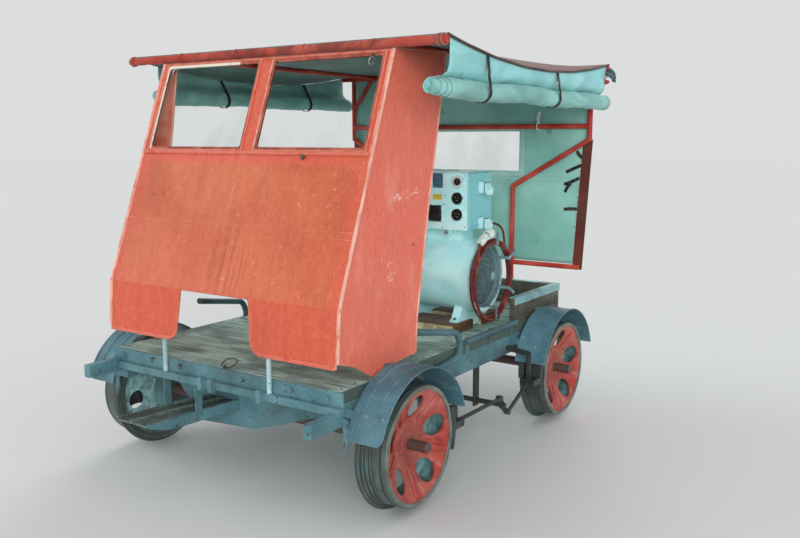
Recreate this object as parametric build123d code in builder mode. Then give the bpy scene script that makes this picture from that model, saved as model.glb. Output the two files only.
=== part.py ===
from build123d import *
import os
from math import asin, atan2, cos, degrees, hypot, radians, sin, sqrt, tan

# Rail maintenance trolley with a slanted sheet screen, a canvas roof and a generator set.
# Millimetres. The front end looks along -Y, +X is the side of the generator's guard, +Z is up.
# The origin is on the floor under the middle of the wheelbase; the wheel flanges stand on it.

# Running gear
back_to_back = 1360.0        # between the flange backs of a wheelset
wheelbase = 1382.0
tread_r = 241.0
flange_r = 270.0
flange_w = 33.0
tyre_w = 125.0
tyre_wall = 19.0
disc_t = 8.0
dish = 58.0                  # how far the outer disc's middle lies inside the tyre's face
hub_r = 46.0
hub_rise = 6.0               # hub's face outside the disc
disc_holes = 5
disc_hole_r = 47.0
disc_hole_pitch_r = 155.0
disc_hole_start = 15.0       # degrees from +Y up to the first hole
disc_flat_r = 105.0          # flat middle of the outer disc, from which it rises to the rim
rim_seat = 15.0              # flat ring of the disc inside the tyre
seat_slope = 3.0
rib_w = 34.0                 # pressed folds between the holes
rib_h = 8.0
inner_disc_in = 22.0         # from the flange back to the inner disc
inner_hole_r = 43.0
inner_hole_pitch_r = 144.0
axle_r = 24.0
stub_r = 22.0                # bare shaft end outside the hub
axle_tip = 35.0              # bare shaft beyond the tyre's face
journal_gap = 0.05           # running clearance round the axle in its boxes

# Underframe
sill_out = 640.0             # outer faces of the longitudinal sills
sill_w = 65.0
sill_h = 90.0
sill_half = 1150.0
sill_end_w = 40.0            # the sills' thinner ends outside the beams
sill_end_h = 57.0
sill_end_r = 7.0
sill_end_low = (427.0, 396.0)  # their undersides, left and right
deck_top = 529.0
plank_t = 45.0
plank_gap = 4.0
plank_count = 12
deck_half = 975.0
beam_half = 650.0
beam_t = 8.0
beam_drop = 91.0
ledge_h = 32.0
ledge_drop = 56.0            # from the deck down to the ledge
ledge_t = 20.0
clamp_row = (-64.0, -4.0, 262.0)
clamp_w = 24.0
clamp_t = 22.0
clamp_h = 58.0
cross_w = 46.0
cross_h = 80.0
cross_wall = 7.0
box_len = 110.0              # axle box along Y
box_w = 60.0
box_h = 110.0
guide_t = 20.0
guide_play = 0.5
tie_t = 12.0
iron_w = 24.0                # guard iron beyond the sill
iron_t = 8.0
spring_r = 32.0

# Sheet-metal screen and its side panels
sheet = 3.0
screen_half = 636.0
screen_foot = (-1003.0, 621.0)     # y, z
screen_crease = (-986.0, 837.0)
screen_top = (-631.0, 1793.0)
foot_cut_low = 216.0
foot_cut_high = 194.0
flap_corner_r = 56.0         # inner lower corners beside the foot cut-out
flap_top_r = 14.0
bead_r = 5.0                 # wire rolled into the free edges of the sheets
win_in = 36.0                # inner edge of each window from the centre line
win_out = 606.0
win_low = 610.0              # along the slope from the crease
win_high = 1006.0
win_r = 14.0
rubber_w = 12.0
rubber_t = 8.0
pane_t = 4.0
panel_bend = 7.0             # least bend of the wire along a side panel's edge
panel_crease = 30.0          # its bend at the crease
panel_wire_end = (-740.0, 570.0)   # y, z: the rear edge's wire stops ahead of the fender
post_x = 297.0
post_r = 10.0
post_lap = 90.0              # how far each post runs up behind the screen

# Roof
roof_half = 874.0
bar_r = 17.0
bar_z = 1813.0
rail_r = 12.0
roof_rail_x = 600.0
canvas_t = 5.0
crown_drop = 1.0             # sag of the canvas between the two rails
rear_behind = 25.0           # from the deck's end back to the rear tubes' middle
frame_r = 13.5
sag_z = 1752.0               # lowest point of the canvas edge
roll_r = 44.0
roll_core_r = 33.0
roll_x = 842.0
roll_rows = (                # side, middle's z, front of the roll, front of its thin core, places of its straps
    (-1, 1662.0, -480.0, -520.0, (-70.0, 600.0)),
    (1, 1643.0, -600.0, -708.0, (-320.0, 360.0)),
)
roll_rear = 1020.0
flap_t = 4.0
strap_w = 22.0
strap_t = 2.0
soft_gap = 0.3               # soft pieces lie this far from what carries them
bar_gap = 0.7                # canvas over the round bars, whose tops it leaves on a slope

# Rear frame and wall
rear_half = 781.0
rear_low_half = 740.0
rear_inner = 335.0
rear_bar_z = 1519.0
rear_low_z = 757.0
rear_knee_z = 1189.0
rear_elbow_z = 1449.0
brace_x = 637.0
brace_z = 1628.0
strip_w = 55.0
strip_t = 4.0
wall_t = 4.0
rear_win_x = 370.0
rear_win_low = 1266.0
rear_win_high = 1501.0
rim_w = 37.0
rim_t = 3.0
rim_lap = 8.0

# Fenders
fender_r = 312.0
fender_in = 668.0
fender_out = 826.0
fender_t = 3.0
fender_end_deg = 16.0
fender_beads = (0.28, 0.68)  # pressed beads of the front fenders, as shares of the width
fender_bead_r = 4.0
fender_edge_r = 3.5          # rolled outer edge
bead_end = fender_end_deg + 7
bead_span = 118.0
fender_corner_r = 30.0       # rounded outer corner at the front end of a front fender
fender_corner_deg = 6.0
stay_w = 32.0
stay_t = 6.0
stay_angle = 34.0

# Tray on the rear of the deck
tray_front = 432.0
tray_board_t = 26.0
tray_board_h = 132.0
tray_rail = 34.0
tray_rail_t = 4.0

# Tubes beside the deck
hand_r = 15.0
hand_bend = 52.0
hand_route = (               # how far inward of the sill, y, z
    (42.0, -500.0, 664.0),
    (0.0, -160.0, 604.0),
    (0.0, -112.0, 492.0),
    (0.0, -330.0, 474.0),
)
side_rail_r = 14.0
side_rail_run = (-85.0, 428.0)
side_rail_rise = 16.0        # its middle over the deck
clip_rows = (-50.0, 170.0, 390.0)
clip_w = 26.0
clip_t = 6.0

# Generator set
gen_y = 278.0
gen_z = 793.0
barrel_r = 178.0
barrel_left = 110.0
barrel_right = 556.0
guard_r = 154.0
guard_rise = 42.0
bearer_right = 505.0
bearer_left = 90.0
bearer_t = 45.0
bearer_w = 200.0
bearer_front = 57.0
bearer_rear = 340.0
foot_t = 12.0
foot_rows = (185.0, 465.0)   # saddle feet under the barrel
foot_len = 44.0
foot_half = 152.0
saddle_half = 96.0
cbox_left = 130.0
cbox_right = 520.0
cbox_front = 165.0
cbox_rear = 405.0
cbox_low = 1018.0
cbox_high = 1297.0
arm_r = 150.0
arm_w = 16.0
arm_t = 6.0
arm_reach = 66.0
arm_tip_r = 216.0
coil_r = 187.0
coil_t = 17.0
coil_gap = 0.6
cord_r = 5.5
dial_rows = (1251.0, 1172.0, 1094.0)
dial_x = 463.0
dial_r = 31.0
dial_t = 9.0
outlet_at = (340.0, 1096.0)  # x, z of the square outlet on the box's front
outlet_w = 76.0
socket_rows = (1220.0, 1047.0)
socket_y = 292.0
socket_w = 64.0
socket_h = 60.0
socket_t = 30.0
lid_w = 52.0                 # flip lid over each socket
gland_at = (375.0, 1040.0)   # y, z on the box's right face
gland_r = 13.0
gland_len = 18.0
plug_r = 19.0
plug_neck = 30.0
plug_len = 46.0
plug_rise = 0.15             # slope of the plug that lies on the coil

# Brake gear
brake_y = 90.0
brake_z = 223.0
shaft_r = 12.0
rocker_top = (49.0, 265.0)   # y, z of the rockers' two eyes
rocker_low = (131.0, 181.0)
rocker_w = 26.0
rod_r = 9.0
shoe_gap = 9.0
shoe_t = 28.0

# Step and shield under the front beam
step_lines = (               # lips of the step's slats: x at the free end, x at the shield
    (-349.0, -270.0),
    (-260.0, -190.0),
    (-158.0, -105.0),
)
step_reach = 458.0           # from the shield to the step's free end
step_z = 322.0               # top of the lips
slat_t = 4.0
slat_gap = 3.0
lip_w = 4.0
lip_h = 13.0
fascia_t = 6.0
fascia_h = 46.0
fascia_tip = 14.0            # height left of the side plate at its free end
fascia_cut = 92.0            # length of its slanted end
bearer_w = 36.0
bearer_t = 8.0
hanger_t = 6.0
hanger_out = 9.0             # from the left lip out to the left hanger's outer face
shield_in = 215.0            # from the deck's end back to the shield
shield_half = 523.0
shield_edge_z = 378.0
shield_low_z = 194.0
shield_tip_left = -321.0
shield_tip_right = 2.0
shield_tip_rise = 10.0       # how far the right tip lies over the left one
shield_t = 4.0

# Values that follow from these
axle_z = flange_r
axle_y = wheelbase / 2
wheel_in = back_to_back / 2
wheel_out = wheel_in + tyre_w
rim_r = tread_r - tyre_wall
plank_low = deck_top - plank_t
sill_in = sill_out - sill_w
sill_low = plank_low - sill_h
beam_y = deck_half + beam_t
shield_y = shield_in - deck_half
step_front = shield_y - step_reach
rear_y = deck_half + rear_behind
box_x = sill_out - box_w / 2
hub_out = wheel_out - dish
roof_front_y = screen_top[0]
canvas_low = bar_z + bar_r + bar_gap
strip_y = rear_y + frame_r
wall_y = strip_y + strip_t + soft_gap
sides = (-1, 1)

os.makedirs("parts", exist_ok=True)


def save(part, name):
    """Labels a finished piece and writes it under its own name."""
    part.label = name
    export_step(part, f"parts/{name}.step")


# Wheelsets: one axle, two tyres and two double discs turn together
tyre_profile = [
    (rim_r, 0.0),
    (flange_r - 4, 0.0),
    (flange_r, 8.0),
    (flange_r - 3, 18.0),
    (tread_r + 5, flange_w - 3),
    (tread_r + 2, flange_w + 8),
    (tread_r, tyre_w - 4),
    (tread_r - 4, tyre_w),
    (rim_r, tyre_w),
]
for end_name, end_y in (("front", -axle_y), ("rear", axle_y)):
    centre = Plane((0, end_y, axle_z), x_dir=(0, 1, 0), z_dir=(1, 0, 0))

    with BuildPart() as axle:
        with BuildSketch(centre.offset(-wheel_out - axle_tip)):
            Circle(axle_r)
        extrude(amount=2 * (wheel_out + axle_tip))
        for side in sides:
            with BuildSketch(centre.offset(side * (hub_out + hub_rise))):
                Circle(axle_r)
                Circle(stub_r, mode=Mode.SUBTRACT)
            extrude(amount=side * (dish + axle_tip), mode=Mode.SUBTRACT)
        tips = axle.edges().filter_by(GeomType.CIRCLE).sort_by(Axis.X)
        chamfer([tips[0], tips[-1]], 3)
    save(axle.part, f"{end_name}_axle")

    with BuildPart() as tyres:
        with BuildSketch(Plane((0, end_y, axle_z), x_dir=(0, 0, 1), z_dir=(0, -1, 0))):
            with BuildLine():
                Polyline(*[(r, wheel_in + w) for r, w in tyre_profile], close=True)
            make_face()
        revolve(axis=Axis((0, end_y, axle_z), (1, 0, 0)))
        mirror(about=Plane.YZ)
    save(tyres.part, f"{end_name}_tyres")

    # A dished disc: flat middle with a hub, a cone up to the rim ring, five holes and folds between them
    lip = wheel_out - 6
    disc_profile = [
        (axle_r, hub_out + hub_rise),
        (hub_r, hub_out + hub_rise),
        (hub_r + 6, hub_out),
        (disc_flat_r, hub_out),
        (rim_r - rim_seat, lip - seat_slope),
        (rim_r, lip),
        (rim_r, lip - disc_t),
        (rim_r - rim_seat, lip - disc_t - seat_slope),
        (disc_flat_r, hub_out - disc_t),
        (hub_r, hub_out - disc_t),
        (hub_r, wheel_in + 12),
        (axle_r, wheel_in + 12),
    ]
    cone = Vector(0, rim_r - rim_seat - disc_flat_r, lip - seat_slope - hub_out)
    with BuildPart() as discs:
        with BuildSketch(Plane((0, end_y, axle_z), x_dir=(0, 0, 1), z_dir=(0, -1, 0))):
            with BuildLine():
                Polyline(*disc_profile, close=True)
            make_face()
        revolve(axis=Axis((0, end_y, axle_z), (1, 0, 0)))
        with BuildSketch(centre.offset(-lip)):
            with PolarLocations(disc_hole_pitch_r, disc_holes, start_angle=disc_hole_start):
                Circle(disc_hole_r)
        extrude(amount=lip - hub_out + 2 * disc_t, mode=Mode.SUBTRACT)
        for i in range(disc_holes):
            swing = radians(disc_hole_start + (i + 0.5) * 360 / disc_holes)
            out = Vector(0, cos(swing), sin(swing))
            across = Vector(0, -sin(swing), cos(swing))
            foot = Vector(-hub_out, end_y, axle_z) + out * (disc_flat_r - 8)
            end = Vector(-hub_out - cone.Z, end_y, axle_z) + out * (disc_flat_r + cone.Y - 4)
            with BuildSketch(Plane(origin=foot, x_dir=across, z_dir=end - foot)):
                Ellipse(rib_w * 0.3, rib_h * 0.4)
            with BuildSketch(Plane(origin=end, x_dir=across, z_dir=end - foot)):
                Ellipse(rib_w * 0.5, rib_h)
            loft(ruled=True)
        with BuildSketch(centre.offset(-wheel_in - inner_disc_in)):
            Circle(rim_r)
            Circle(axle_r, mode=Mode.SUBTRACT)
            with PolarLocations(inner_hole_pitch_r, disc_holes, start_angle=disc_hole_start + 180 / disc_holes):
                Circle(inner_hole_r, mode=Mode.SUBTRACT)
        extrude(amount=-disc_t)
        mirror(about=Plane.YZ)
    save(discs.part, f"{end_name}_wheel_discs")


# Underframe: sills, cross channels, end beams
def sill_section():
    """Both sills where they lie between the end beams."""
    with BuildSketch(Plane.XZ) as section:
        for side in sides:
            with Locations((side * (sill_out - sill_w / 2), plank_low - sill_h / 2)):
                Rectangle(sill_w, sill_h)
    return section.sketch_local


def end_section():
    """Their thinner ends, which lie a little lower on the right."""
    with BuildSketch(Plane.XZ) as section:
        for side, low in zip(sides, sill_end_low):
            with Locations((side * (sill_out - sill_end_w / 2), low + sill_end_h / 2)):
                RectangleRounded(sill_end_w, sill_end_h, sill_end_r)
    return section.sketch_local


with BuildPart() as sills:
    for half, section in ((deck_half, sill_section()), (sill_half, end_section())):
        with BuildSketch(Plane.XZ.offset(-half)):
            add(section)
        extrude(amount=2 * half)
save(sills.part, "side_sills")

cross_rows = (shield_y + cross_w / 2, -420.0, 0.0, 420.0, -shield_y - cross_w / 2)
with BuildPart() as cross:
    for row_y in cross_rows:
        with BuildSketch(Plane.YZ.offset(-sill_in)):
            with Locations((row_y, plank_low - cross_h / 2)):
                Rectangle(cross_w, cross_h)
            with Locations((row_y + cross_wall / 2, plank_low - cross_h / 2)):
                Rectangle(cross_w - cross_wall, cross_h - 2 * cross_wall, mode=Mode.SUBTRACT)
        extrude(amount=2 * sill_in)
save(cross.part, "cross_channels")

with BuildPart() as beams:
    for way in sides:
        with BuildSketch(Plane.YZ.offset(-beam_half)):
            with Locations((way * (deck_half + beam_t / 2), deck_top - beam_drop / 2)):
                Rectangle(beam_t, beam_drop)
            with Locations((way * (beam_y + ledge_t / 2), deck_top - ledge_drop - ledge_h / 2)):
                Rectangle(ledge_t, ledge_h)
        extrude(amount=2 * beam_half)
    with BuildSketch(Plane.XZ.offset(-sill_half)):
        add(end_section())
    extrude(amount=2 * sill_half, mode=Mode.SUBTRACT)
    for clamp_x in clamp_row:
        with BuildSketch(Plane.YZ.offset(clamp_x - clamp_w / 2)):
            with Locations((-beam_y - ledge_t - clamp_t / 2, deck_top - ledge_drop - ledge_h / 2)):
                RectangleRounded(clamp_t, clamp_h, 8)
            with Locations((-beam_y - ledge_t - clamp_t / 4, deck_top - ledge_drop - ledge_h / 2)):
                Rectangle(clamp_t / 2, ledge_h)
        extrude(amount=clamp_w)
save(beams.part, "end_beams")

# Deck: planks across the sills
pitch = 2 * deck_half / plank_count
with BuildPart() as deck:
    for i in range(plank_count):
        with BuildSketch(Plane.XY.offset(plank_low)):
            with Locations((0, -deck_half + (i + 0.5) * pitch)):
                Rectangle(2 * sill_out, pitch - plank_gap)
        extrude(amount=plank_t)
save(deck.part, "deck_planks")

# Axle boxes, their guides and rubber springs
with BuildPart() as boxes:
    for end_y in (-axle_y, axle_y):
        for side in sides:
            with BuildSketch(Plane.YZ.offset(side * box_x - box_w / 2)):
                with Locations((end_y, axle_z)):
                    RectangleRounded(box_len, box_h, 12)
                    Circle(axle_r + journal_gap, mode=Mode.SUBTRACT)
            extrude(amount=box_w)
save(boxes.part, "axle_boxes")

box_top = axle_z + box_h / 2
box_low = axle_z - box_h / 2
with BuildPart() as guides:
    for end_y in (-axle_y, axle_y):
        for side in sides:
            with BuildSketch(Plane.YZ.offset(side * box_x - box_w / 2)):
                with Locations((end_y, (sill_low + box_low - tie_t - guide_play) / 2)):
                    Rectangle(box_len + 2 * (guide_t + guide_play), sill_low - box_low + tie_t + guide_play)
                with Locations((end_y, (sill_low + box_low - guide_play) / 2)):
                    Rectangle(box_len + 2 * guide_play, sill_low - box_low + guide_play, mode=Mode.SUBTRACT)
            extrude(amount=box_w)
save(guides.part, "box_guides")

spring_h = sill_low - box_top
with BuildPart() as springs:
    for end_y in (-axle_y, axle_y):
        for side in sides:
            with BuildSketch(Plane((side * box_x, end_y, box_top), x_dir=(1, 0, 0), z_dir=(0, -1, 0))):
                with BuildLine():
                    Polyline(
                        (0, 0),
                        (spring_r, 0),
                        (spring_r, spring_h * 0.2),
                        (spring_r - 8, spring_h * 0.5),
                        (spring_r, spring_h * 0.8),
                        (spring_r, spring_h),
                        (0, spring_h),
                        close=True,
                    )
                make_face()
            revolve(axis=Axis((side * box_x, end_y, box_top), (0, 0, 1)))
save(springs.part, "box_springs")

with BuildPart() as irons:
    for way in sides:
        for side in sides:
            with BuildSketch(Plane.XZ.offset(-way * (deck_half - 2))):
                with BuildLine():
                    Polyline(
                        (side * sill_out, sill_low + 40),
                        (side * (sill_out + iron_w), sill_low + 30),
                        (side * (sill_out + iron_w), sill_low - 50),
                        (side * (sill_out + iron_w - 6), sill_low - 96),
                        (side * (sill_out + iron_w - 14), sill_low - 46),
                        (side * (sill_out + 4), sill_low - 72),
                        (side * sill_out, sill_low),
                        close=True,
                    )
                make_face()
            extrude(amount=way * iron_t)
save(irons.part, "guard_irons")

# Front screen: one folded sheet with two windows and a foot cut-out
slope = Vector(0, screen_top[0] - screen_crease[0], screen_top[1] - screen_crease[1])
slope_len = slope.length
slope_dir = slope.normalized()
slope_plane = Plane(origin=(0, *screen_crease), x_dir=(1, 0, 0), z_dir=slope_dir.cross(Vector(1, 0, 0)) * -1)
flap = Vector(0, screen_crease[0] - screen_foot[0], screen_crease[1] - screen_foot[1])
flap_len = flap.length
flap_plane = Plane(
    origin=(0, *screen_foot), x_dir=(1, 0, 0), z_dir=flap.normalized().cross(Vector(1, 0, 0)) * -1
)
with BuildPart() as screen:
    with BuildSketch(slope_plane):
        with Locations((0, slope_len / 2)):
            Rectangle(2 * screen_half, slope_len)
        for side in sides:
            with Locations((side * (win_in + win_out) / 2, (win_low + win_high) / 2)):
                RectangleRounded(win_out - win_in, win_high - win_low, win_r, mode=Mode.SUBTRACT)
    extrude(amount=-sheet)
    with BuildSketch(flap_plane) as flaps:
        with Locations((0, flap_len / 2)):
            Rectangle(2 * screen_half, flap_len)
        with BuildLine():
            Polyline(
                (-foot_cut_low, -1),
                (-foot_cut_high, flap_len + 1),
                (foot_cut_high, flap_len + 1),
                (foot_cut_low, -1),
                close=True,
            )
        make_face(mode=Mode.SUBTRACT)
        fillet(flaps.vertices().filter_by(lambda v: abs(v.X) < foot_cut_low + 1 and v.Y < 1), flap_corner_r)
    extrude(amount=-sheet)
    with BuildLine(flap_plane.offset(bead_r - sheet)):
        hem = FilletPolyline(
            (bead_r + sheet - screen_half, 0),
            (-foot_cut_low, 0),
            (-foot_cut_high, flap_len),
            (foot_cut_high, flap_len),
            (foot_cut_low, 0),
            (screen_half - sheet - bead_r, 0),
            radius=[flap_corner_r, flap_top_r, flap_top_r, flap_corner_r],
        )
    with BuildSketch(Plane(origin=hem @ 0, z_dir=hem % 0)):
        Circle(bead_r)
    sweep()
save(screen.part, "front_screen")

win_mid = (win_low + win_high) / 2
with BuildPart() as rubbers:
    with BuildSketch(slope_plane):
        for side in sides:
            with Locations((side * (win_in + win_out) / 2, win_mid)):
                RectangleRounded(win_out - win_in, win_high - win_low, win_r)
                RectangleRounded(
                    win_out - win_in - 2 * rubber_w,
                    win_high - win_low - 2 * rubber_w,
                    win_r - 4,
                    mode=Mode.SUBTRACT,
                )
    extrude(amount=-rubber_t)
save(rubbers.part, "window_rubbers")

with BuildPart() as panes:
    with BuildSketch(slope_plane.offset(-(rubber_t - pane_t) / 2)):
        for side in sides:
            with Locations((side * (win_in + win_out) / 2, win_mid)):
                Rectangle(win_out - win_in - 2 * rubber_w, win_high - win_low - 2 * rubber_w)
    extrude(amount=-pane_t)
    fillet(panes.edges().filter_by(lambda e: abs(e.length - pane_t) < 0.01), win_r - 4)
    with BuildSketch(Plane.XZ.offset(-wall_y)):
        with Locations((0, (rear_win_low + rear_win_high) / 2)):
            Rectangle(2 * (rear_win_x - soft_gap), rear_win_high - rear_win_low - 2 * soft_gap)
    extrude(amount=-wall_t / 2)
save(panes.part, "window_panes")

with BuildPart() as posts:
    with BuildSketch(Plane.XY.offset(deck_top - ledge_drop)):
        for side in sides:
            with Locations((side * post_x, -beam_y - post_r)):
                Circle(post_r)
    extrude(amount=screen_foot[1] - deck_top + ledge_drop + post_lap)
    with BuildSketch(flap_plane.offset(-sheet - soft_gap)):
        with Locations((0, flap_len / 2 - bead_r)):
            Rectangle(2 * screen_half, flap_len + 2 * bead_r)
    extrude(amount=2 * post_r + sheet, mode=Mode.SUBTRACT)
save(posts.part, "screen_posts")

# Side panels: the right one is wide, the left one leaves the way in
right_outline = [
    (-631, 1793),
    (-251, 1812),
    (-271, 1690),
    (-369, 1246),
    (-466, 729),
    (-476, 582),
    (-500, 575),
    (-657, 564),
    (-760, 534),
    (-819, 564),
    (-894, 607),
    (-999, 640),
    (-986, 837),
]
left_outline = [
    (-631, 1793),
    (-562, 1797),
    (-620, 1413),
    (-700, 837),
    (-735, 582),
    (-760, 534),
    (-819, 564),
    (-894, 607),
    (-999, 640),
    (-986, 837),
]
with BuildPart() as panels:
    for outline, face_x in ((right_outline, screen_half), (left_outline, -screen_half - sheet)):
        with BuildSketch(Plane.YZ.offset(face_x)):
            with BuildLine():
                Polyline(*outline, close=True)
            make_face()
        extrude(amount=sheet)
        edge_x = face_x + sheet / 2
        bead_x = (screen_half + soft_gap + bead_r) * (1 if face_x > 0 else -1)
        free_edge = [(edge_x, y, z) for y, z in outline[1:] if y > panel_wire_end[0] and z > panel_wire_end[1]]
        with BuildLine():
            rear_edge = FilletPolyline(*free_edge, radius=panel_bend)
        with BuildSketch(Plane(origin=rear_edge @ 0, z_dir=rear_edge % 0)):
            Circle(bead_r)
        sweep()
        front_points = [(bead_x, y, z) for y, z in (outline[0], outline[-1], outline[-2])]
        with BuildLine():
            front_edge = FilletPolyline(*front_points, radius=panel_crease)
        with BuildSketch(Plane(origin=front_edge @ 0, z_dir=front_edge % 0)):
            Circle(bead_r)
        sweep()
save(panels.part, "side_panels")

# Roof: front bar, two rails, canvas with sagging edges
rail_z = bar_z + bar_r - rail_r - crown_drop
with BuildPart() as roof_bars:
    with BuildSketch(Plane.YZ.offset(-roof_half)):
        with Locations((roof_front_y, bar_z)):
            Circle(bar_r)
    extrude(amount=2 * roof_half)
    for side in sides:
        with BuildSketch(Plane.XZ.offset(-roof_front_y)):
            with Locations((side * roof_rail_x, rail_z)):
                Circle(rail_r)
        extrude(amount=-(rear_y - frame_r - roof_front_y))
save(roof_bars.part, "roof_bars")

edge_mid = (roof_front_y + rear_y) / 2


def sag_section(drop):
    """Slice of the canvas along Y: two arcs that hang by drop at mid length."""
    top = canvas_low + canvas_t
    with BuildSketch() as section:
        with BuildLine():
            ThreePointArc((roof_front_y, canvas_low), (edge_mid, canvas_low - drop), (rear_y, canvas_low))
            Line((rear_y, canvas_low), (rear_y, top))
            ThreePointArc((rear_y, top), (edge_mid, top - drop), (roof_front_y, top))
            Line((roof_front_y, top), (roof_front_y, canvas_low))
        make_face()
    return section.sketch_local


edge_drop = canvas_low - sag_z
crown_section = sag_section(crown_drop)
edge_section = sag_section(edge_drop)
with BuildPart() as canvas:
    with BuildSketch(Plane.YZ.offset(-roof_rail_x)):
        add(crown_section)
    extrude(amount=2 * roof_rail_x)
    for side in sides:
        with BuildSketch(Plane.YZ.offset(side * roof_rail_x)):
            add(crown_section)
        with BuildSketch(Plane.YZ.offset(side * roof_half)):
            add(edge_section)
        loft(ruled=True)
save(canvas.part, "roof_canvas")

# Rolled side curtains: the roll, its thinner front end and the flap up to the roof's edge
flap_x = roof_half - 6
flap_rear = rear_y - frame_r - soft_gap
with BuildPart() as curtains:
    for side, roll_z, roll_front, core_front, _ in roll_rows:
        with BuildSketch(Plane.YZ.offset(side * flap_x)):
            with BuildLine():
                Line((roof_front_y, roll_z), (rear_y, roll_z))
                Line((rear_y, roll_z), (rear_y, canvas_low - soft_gap))
                ThreePointArc(
                    (rear_y, canvas_low - soft_gap),
                    (edge_mid, canvas_low - soft_gap - edge_drop),
                    (roof_front_y, canvas_low - soft_gap),
                )
                Line((roof_front_y, canvas_low - soft_gap), (roof_front_y, roll_z))
            make_face()
            with Locations(((roll_front + flap_rear) / 2, (roll_z + canvas_low) / 2)):
                Rectangle(flap_rear - roll_front, canvas_low, mode=Mode.INTERSECT)
        extrude(amount=-side * flap_t)
        with BuildSketch(Plane.XZ.offset(-roll_front)):
            with Locations((side * roll_x, roll_z)):
                Circle(roll_r)
        extrude(amount=-(roll_rear - roll_front))
        with BuildSketch(Plane.XZ.offset(-core_front)):
            with Locations((side * roll_x, roll_z)):
                Circle(roll_core_r)
        extrude(amount=-(roll_front - core_front))
save(curtains.part, "side_curtains")

# Straps that hold the rolls up
strap_in = flap_t / 2 + soft_gap
with BuildPart() as straps:
    for side, roll_z, _, _, strap_rows in roll_rows:
        for row_y in strap_rows:
            strap_top = canvas_low - edge_drop - 10 + edge_drop * ((row_y - edge_mid) / (rear_y - edge_mid)) ** 2
            flap_mid = flap_x - flap_t / 2
            with BuildSketch(Plane.XZ.offset(-row_y)):
                with Locations((side * roll_x, roll_z)):
                    Circle(roll_r + soft_gap + strap_t)
                with Locations((side * flap_mid, (roll_z + strap_top) / 2)):
                    Rectangle(2 * (strap_in + strap_t), strap_top - roll_z)
                with Locations((side * roll_x, roll_z)):
                    Circle(roll_r + soft_gap, mode=Mode.SUBTRACT)
                with Locations((side * flap_mid, (roll_z + strap_top) / 2)):
                    Rectangle(2 * strap_in, strap_top - roll_z + 2, mode=Mode.SUBTRACT)
            extrude(amount=strap_w)
save(straps.part, "curtain_straps")

# Rear frame of round tube, with its flat edge strips
rear_top_z = bar_z + bar_r - frame_r
stand_z = deck_top - ledge_drop


def tube(start, end, r):
    """A straight round bar between two points."""
    run = Vector(*end) - Vector(*start)
    with BuildPart() as bar:
        with BuildSketch(Plane(origin=start, z_dir=run)):
            Circle(r)
        extrude(amount=run.length)
    return bar.part


# Each row: half-width and height of one end, then of the other; mirrored for the left half
rear_runs = (
    (0.0, rear_top_z, roof_half, rear_top_z, frame_r),
    (0.0, rear_bar_z, rear_half, rear_bar_z, frame_r),
    (rear_inner, rear_low_z, rear_low_half, rear_low_z, frame_r),
    (rear_inner, stand_z, rear_inner, rear_knee_z, frame_r),
    (rear_inner, rear_knee_z, rear_half, rear_elbow_z, frame_r),
    (rear_half, rear_elbow_z, rear_half, rear_top_z, frame_r),
    (brace_x, rear_top_z, rear_half, brace_z, frame_r * 0.8),
)
rear_bars = [tube((x0, rear_y, z0), (x1, rear_y, z1), r) for x0, z0, x1, z1, r in rear_runs]
with BuildPart() as rear_frame:
    add(rear_bars)
    for ball_x, ball_z in ((rear_inner, rear_knee_z), (rear_half, rear_elbow_z)):
        with Locations((ball_x, rear_y, ball_z)):
            Sphere(frame_r)
    mirror(about=Plane.YZ)
save(rear_frame.part, "rear_frame")

with BuildPart() as strips:
    for side in sides:
        with BuildSketch(Plane.XZ.offset(-strip_y)):
            with BuildLine():
                Polyline(
                    (side * (rear_half + frame_r), rear_elbow_z),
                    (side * (rear_half + frame_r - strip_w), rear_elbow_z - 34),
                    (side * (rear_low_half + frame_r - strip_w), rear_low_z - frame_r),
                    (side * (rear_low_half + frame_r), rear_low_z - frame_r),
                    close=True,
                )
            make_face()
        extrude(amount=-strip_t)
save(strips.part, "edge_strips")

# Rear wall: stretched canvas with a window
wall_top = rear_top_z + frame_r - 4
with BuildPart() as rear_wall:
    with BuildSketch(Plane.XZ.offset(-wall_y)):
        with BuildLine():
            Polyline(
                (-rear_low_half, rear_low_z - frame_r),
                (rear_low_half, rear_low_z - frame_r),
                (rear_half, rear_elbow_z),
                (rear_half, wall_top),
                (-rear_half, wall_top),
                (-rear_half, rear_elbow_z),
                close=True,
            )
        make_face()
        with Locations((0, (rear_win_low + rear_win_high) / 2)):
            Rectangle(2 * rear_win_x, rear_win_high - rear_win_low, mode=Mode.SUBTRACT)
    extrude(amount=-wall_t)
save(rear_wall.part, "rear_wall")

with BuildPart() as rim:
    with BuildSketch(Plane.XZ.offset(-(wall_y - soft_gap))):
        with Locations((0, (rear_win_low + rear_win_high) / 2)):
            Rectangle(2 * rear_win_x + 2 * (rim_w - rim_lap), rear_win_high - rear_win_low + 2 * (rim_w - rim_lap))
            Rectangle(
                2 * (rear_win_x - rim_lap), rear_win_high - rear_win_low - 2 * rim_lap, mode=Mode.SUBTRACT
            )
    extrude(amount=rim_t)
save(rim.part, "rear_window_rim")

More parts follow.
